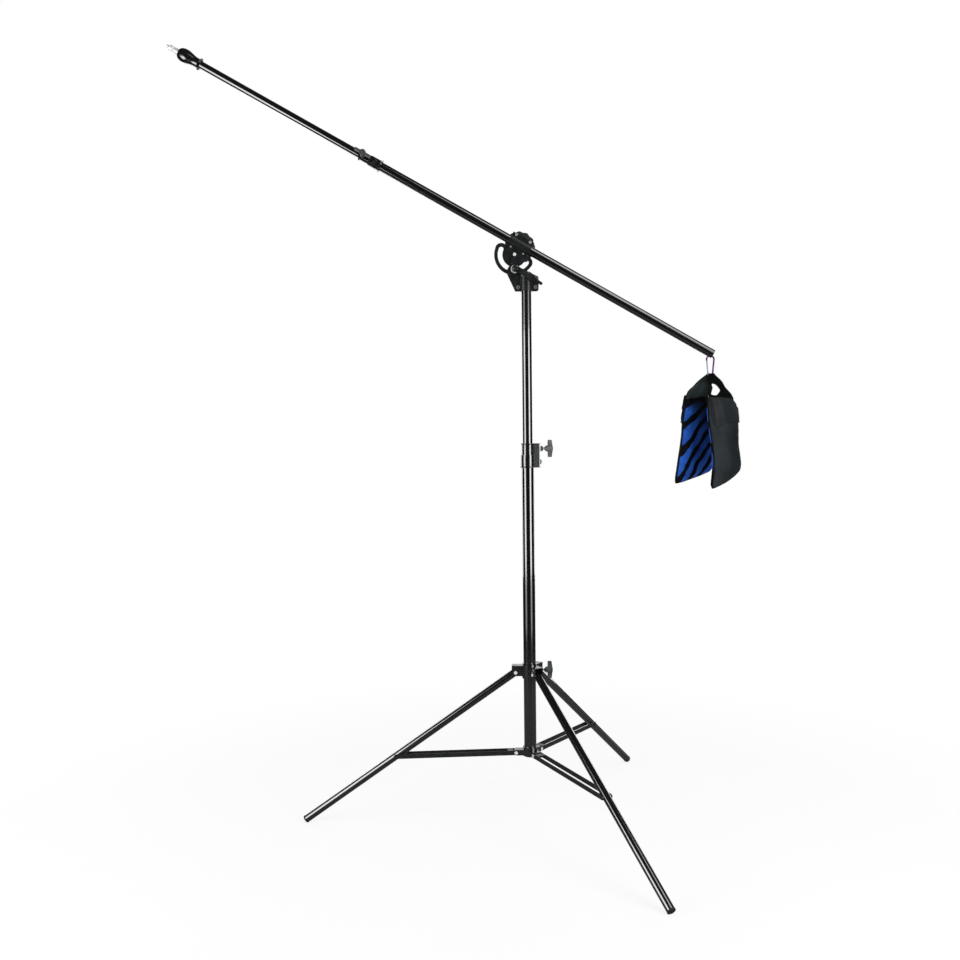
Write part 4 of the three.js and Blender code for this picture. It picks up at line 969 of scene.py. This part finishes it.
def web_point(side, x, z):
    """Point of a web at this distance from its middle line and this height."""
    share = (WEB_TOP - z) / (WEB_TOP - WEB_FOOT)
    turn = BAG_TURN * eased(share * 1.6)
    across = Vector((math.cos(turn), math.sin(turn), 0))
    out = LOOP_RADIUS + (POUCH_SPREAD - LOOP_RADIUS) * max(0.0, share) ** 1.12
    out += WEB_FLARE * max(0.0, z - 4 * MM)
    lead = (Y_AXIS * side * (1 - eased(share * 1.4)) + WEB_OUT * side * eased(share * 1.4)).normalized()
    ripple = 0.9 * MM * math.sin(x / MM * 0.11 + side) * eased(share)
    return across * x + lead * (out + ripple) + Z_AXIS * z


def web_edge(which, way):
    """Points from the top of a web to its foot along one of its edges."""
    line = smooth_line([Vector((x, z)) * MM for z, x in WEB_EDGES[which, way]], 10)
    return evenly(line, (line[0] - line[-1]).length / WEB_STEPS)


def ray_to(line, centre, angle):
    """Where a ray from the centre at this angle leaves a closed line."""
    way = Vector((math.cos(angle), math.sin(angle)))
    best = 0.0
    for start, end in zip(line, line[1:] + line[:1]):
        a = start - centre
        run = end - start
        cross = way.x * run.y - way.y * run.x
        if abs(cross) < 1e-12:
            continue
        reach = (a.x * run.y - a.y * run.x) / cross
        share = (a.x * way.y - a.y * way.x) / cross
        if 0 <= share <= 1 and reach > best:
            best = reach
    return centre + way * best


def add_web(side, which, cloth):
    """Web from the loop down to a pouch, with bound and stitched edges. The near one has the hand opening."""
    matrix = Matrix.Translation(BAG)
    centre = WEB_CENTRES[which]
    right = web_edge(which, 1)
    left = web_edge(which, -1)
    outer = right + [right[-1].lerp(left[-1], k / 20) for k in range(1, 20)] + left[::-1]
    hole = None
    if which == "near":
        corners = [Vector(p) * MM for p in WEB_HOLE]
        hole = smooth_line(corners + corners[:3], 6)[6:-7]
    angles = [2 * math.pi * k / WEB_SIDES for k in range(WEB_SIDES)]
    rim = [ray_to(outer, centre, angle) for angle in angles]
    if hole:
        inner = [ray_to(hole, centre, angle) for angle in angles]
    else:
        inner = [centre.lerp(p, 0.06) for p in rim]
    flat = []
    for ring in range(WEB_RINGS + 1):
        share = (ring / WEB_RINGS) ** 0.9
        flat += [a.lerp(b, share) for a, b in zip(inner, rim)]
    faces = ring_faces(WEB_RINGS + 1, WEB_SIDES, flip=side < 0)
    if not hole:
        faces += fan_faces(0, WEB_SIDES, len(flat), flip=side > 0)
        flat.append(centre)
    add_sheet(f"web_{which}", [web_point(side, p.x, p.y) for p in flat], faces, cloth, matrix, WEB_THICKNESS)
    out = WEB_OUT * side
    if hole:
        line = [web_point(side, p.x, p.y) for p in evenly(inner, 3 * MM, closed=True)]
        tape = tape_mesh(line, 1.7 * MM, 2.3 * MM, out, closed=True)
        add_piece(f"hole_binding_{which}", *tape, TAPE, "bag", matrix)
    for label, way, edge in (("left", -1, left), ("right", 1, right)):
        line = [web_point(side, p.x - way * 0.6 * MM, p.y) for p in edge]
        tape = tape_mesh(line, 1.5 * MM, 1.9 * MM, out)
        add_piece(f"edge_binding_{label}_{which}", *tape, TAPE, "bag", matrix)
        inset = [web_point(side, p.x - way * 5 * MM, p.y) + out * (1.3 * MM) for p in edge[8:-2]]
        add_piece(f"web_stitches_{label}_{which}", *stitch_row(inset, out), THREAD, "bag", matrix)


def add_loop():
    """Folded strap over the carabiner's foot, which joins the two webs."""
    line = [(-LOOP_RADIUS, -LOOP_TAIL + LOOP_TAIL * k / 6) for k in range(6)]
    for k in range(17):
        angle = math.pi - math.pi * k / 16
        line.append((LOOP_RADIUS * math.cos(angle), LOOP_RADIUS * math.sin(angle)))
    line += [(LOOP_RADIUS, -LOOP_TAIL * k / 6) for k in range(1, 7)]
    points = [Vector((LOOP_HALF * (k / 2 - 1), y, z)) for y, z in line for k in range(5)]
    faces = grid_faces(4, len(line) - 1, flip=True)
    return add_sheet("strap_loop", points, faces, WEB_BLACK, Matrix.Translation(BAG), WEB_THICKNESS)


add_web(-1, "near", WEB_BLACK)
add_web(1, "far", WEB_CLOTH)
loop = add_loop()
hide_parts("bag_strap")


# Small fittings. Profiles hold radius and height in millimetres, or a share of the radius and a height

SOCKET_RADIUS = 2.1
SOCKET_TURN = math.radians(12)
SOCKET_PROFILE = ((1.0, 0.3), (1.0, -0.12), (0.86, -0.16), (0.74, 0.1))
SOCKET_MIDDLE = 0.2 * MM
PLUG_PROFILE = ((0.5, -1.4), (0.72, -2.4), (0.92, -2.4), (1.0, -1.8), (1.03, -0.9), (1.0, -0.1), (0.9, 0.4))
PLUG_FOOT = -1.2 * MM
PLUG_TOP = 0.4 * MM
PLUG_SIDES = 48
RIVET_LEFT = 11.8 * MM  # of the column's middle
RIVET_RISE = 34 * MM  # above the bracket's left bolt
RIVET_PROFILE = ((3.4, -0.4), (3.4, 0.25), (3.0, 0.8), (2.1, 1.25), (1.0, 1.45))
RIVET_TOP = 1.5 * MM
RIVET_SIDES = 20
FLANGE_DEPTH = 3 * MM
RING_PROFILE = ((11.9, 0.3), (11.9, -0.9), (11.5, -1.3), (9.5, -1.3), (8.8, -0.9), (8.8, 0.3))
RING_SIDES = 36


def add_rivet():
    """Low bright dome on the front plate of the bracket, beside the mast."""
    start = Vector((COLUMN.x - RIVET_LEFT, -0.2, middle("bracket_bolt_left").z + RIVET_RISE))
    hit, place, normal, _ = nodes["bracket_front_plate"].ray_cast(start, Y_AXIS)
    if not hit:
        raise RuntimeError("the front plate has no surface at the rivet")
    side = normal.cross(Z_AXIS).normalized()
    up = side.cross(normal).normalized()
    rings = len(RIVET_PROFILE)
    points = lathe(place, side, up, normal, RIVET_PROFILE, RIVET_SIDES)
    points.append(place + normal * RIVET_TOP)
    faces = ring_faces(rings, RIVET_SIDES) + fan_faces((rings - 1) * RIVET_SIDES, RIVET_SIDES, len(points) - 1)
    faces += ring_caps(rings, RIVET_SIDES)[:1]
    add_piece("bracket_rivet", points, faces, ZINC, "mast")


def add_lever_ring():
    """Steel ring on the lock lever's flange, round its boss."""
    bolt = middle("lock_bolt")
    centre = Vector((bolt.x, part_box("lock_lever")[1].y - FLANGE_DEPTH, bolt.z))
    points = lathe(centre, X_AXIS, Z_AXIS, Y_AXIS, RING_PROFILE, RING_SIDES)
    faces = ring_faces(len(RING_PROFILE), RING_SIDES, closed=True)
    add_piece("lever_ring", points, faces, ZINC, "lock_lever")


def add_socket(node):
    """Dark hex socket sunk in the front face of a bolt of the bracket, along the y axis. Its near black colour is
    painted shade.
    """
    centre = middle(node)
    centre.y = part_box(node)[0].y
    profile = [(SOCKET_RADIUS * share, height) for share, height in SOCKET_PROFILE]
    points = lathe(centre, X_AXIS, Z_AXIS, Y_AXIS, profile, 6, SOCKET_TURN)
    points.append(centre + Y_AXIS * SOCKET_MIDDLE)
    faces = ring_faces(4, 6) + fan_faces(18, 6, 24)
    add_piece(f"{node}_socket", points, faces, SOCKET_PAINTED_SHADE, "mast", smooth=False)


def add_column_plug():
    """Ribbed rubber plug that closes the foot of the column."""
    low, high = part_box("lower_column_tube")
    centre = Vector((COLUMN.x, COLUMN.y, low.z))
    radius = (high.x - low.x) / 2 / MM
    profile = [(radius * share, height) for share, height in PLUG_PROFILE]
    points = lathe(centre, X_AXIS, Y_AXIS, Z_AXIS, profile, PLUG_SIDES)
    foot = len(points)
    points += [centre + Z_AXIS * PLUG_FOOT, centre + Z_AXIS * PLUG_TOP]
    faces = ring_faces(len(profile), PLUG_SIDES, flip=True) + fan_faces(0, PLUG_SIDES, foot)
    faces += fan_faces(foot - PLUG_SIDES, PLUG_SIDES, foot + 1, flip=True)
    add_piece("column_plug", points, faces, RUBBER, "column")


add_rivet()
add_lever_ring()
for place in ("left", "right", "high"):
    add_socket(f"bracket_bolt_{place}")
add_column_plug()


# Studio: floor, world and soft boxes

FLOOR_HALF = 40.0
FLOOR_NEAR = 0.8
FLOOR_FAR = 1.9
FLOOR_GLOW = 0.84
WORLD_FILL = 0.45
WORLD_DARK = 0.04
WORLD_BEHIND = 0.9


def add_floor():
    """Pale floor, mostly plain white to the camera, more so far off. Polished parts see it dark."""
    mesh = bpy.data.meshes.new("floor")
    half = FLOOR_HALF
    corners = [(-half, -half, 0), (half, -half, 0), (half, half, 0), (-half, half, 0)]
    mesh.from_pydata(corners, [], [(0, 1, 2, 3)])
    floor = bpy.data.objects.new("floor", mesh)
    floor.location = (COLUMN.x, COLUMN.y, 0)
    scene.collection.objects.link(floor)
    finish = Finish("studio_floor", roughness=0.9, specular=0.0)
    path = finish.node("ShaderNodeLightPath")
    length = finish.node("ShaderNodeVectorMath", operation="LENGTH")
    finish.link(finish.coordinates, length.inputs[0])
    away = length.outputs["Value"]
    pale = finish.ramp(finish.noise(2.0), 0.0, 1.0, (0.78, 0.78, 0.78), (0.82, 0.82, 0.82))
    mirrored = finish.ramp(finish.maths("MULTIPLY", away, 0.2), 0.3, 0.5, (0.16, 0.16, 0.16), (0.04, 0.04, 0.04))
    finish.colour(finish.mix(path.outputs["Is Glossy Ray"], pale, mirrored))
    far = finish.share(away, FLOOR_NEAR, FLOOR_FAR, FLOOR_GLOW, smooth=True)
    glow = finish.node("ShaderNodeEmission")
    glow.inputs["Strength"].default_value = 1.0
    blend = finish.node("ShaderNodeMixShader")
    finish.link(finish.maths("MULTIPLY", far, path.outputs["Is Camera Ray"]), blend.inputs["Fac"])
    finish.link(finish.shader.outputs["BSDF"], blend.inputs[1])
    finish.link(glow.outputs["Emission"], blend.inputs[2])
    finish.link(blend.outputs["Shader"], finish.tree.nodes["Material Output"].inputs["Surface"])
    mesh.materials.append(finish.material)


def add_world():
    """White to the camera. Polished parts see it dark, but bright straight behind the part."""
    world = bpy.data.worlds.new("studio")
    world.use_nodes = True
    tree = world.node_tree
    background = tree.nodes["Background"]
    path = tree.nodes.new("ShaderNodeLightPath")
    place = tree.nodes.new("ShaderNodeTexCoord")
    split = tree.nodes.new("ShaderNodeSeparateXYZ")
    tree.links.new(place.outputs["Generated"], split.inputs["Vector"])
    behind = tree.nodes.new("ShaderNodeMapRange")
    behind.inputs["From Min"].default_value = 0.7
    behind.inputs["From Max"].default_value = 0.95
    behind.inputs["To Min"].default_value = WORLD_DARK
    behind.inputs["To Max"].default_value = WORLD_BEHIND
    tree.links.new(split.outputs["Y"], behind.inputs["Value"])
    glossy = tree.nodes.new("ShaderNodeMix")
    glossy.inputs["A"].default_value = WORLD_FILL
    tree.links.new(path.outputs["Is Glossy Ray"], glossy.inputs["Factor"])
    tree.links.new(behind.outputs["Result"], glossy.inputs["B"])
    seen = tree.nodes.new("ShaderNodeMix")
    seen.inputs["B"].default_value = 1.0
    tree.links.new(path.outputs["Is Camera Ray"], seen.inputs["Factor"])
    tree.links.new(glossy.outputs["Result"], seen.inputs["A"])
    tree.links.new(seen.outputs["Result"], background.inputs["Strength"])
    background.inputs["Color"].default_value = (1.0, 1.0, 1.0, 1.0)
    scene.world = world


def lamp(name, place, target, width, height, radiance):
    data = bpy.data.lights.new(name, "AREA")
    data.shape = "RECTANGLE"
    data.size = width
    data.size_y = height
    data.energy = radiance * math.pi * width * height
    light = bpy.data.objects.new(name, data)
    light.location = place
    light.rotation_euler = (target - place).normalized().to_track_quat("-Z", "Y").to_euler()
    scene.collection.objects.link(light)


def side_box(name, degrees, distance, width, height, bottom, radiance):
    """Upright soft box at this turn from the camera's direction, seen from the column."""
    turn = math.radians(degrees)
    place = Vector((COLUMN.x + distance * math.sin(turn), COLUMN.y - distance * math.cos(turn), bottom + height / 2))
    lamp(name, place, Vector((COLUMN.x, COLUMN.y, place.z)), width, height, radiance)


add_floor()
add_world()
side_box("left_box", -58, 2.6, 1.4, 1.3, 0.35, 4.6)
side_box("left_edge", -58, 2.75, 1.5, 2.1, 0.0, 1.7)
side_box("right_box", 44, 2.6, 1.25, 1.3, 0.35, 5.4)
side_box("right_edge", 44, 2.75, 1.35, 2.9, 0.0, 2.0)
side_box("back_left", -140, 2.9, 1.0, 1.6, 0.3, 3.0)
side_box("back_right", 140, 2.9, 1.0, 1.6, 0.3, 3.0)
lamp("top_box", Vector((COLUMN.x + 1.7, COLUMN.y - 1.5, 3.8)), Vector((COLUMN.x + 0.1, COLUMN.y, 1.6)), 2.6, 1.8, 3.0)
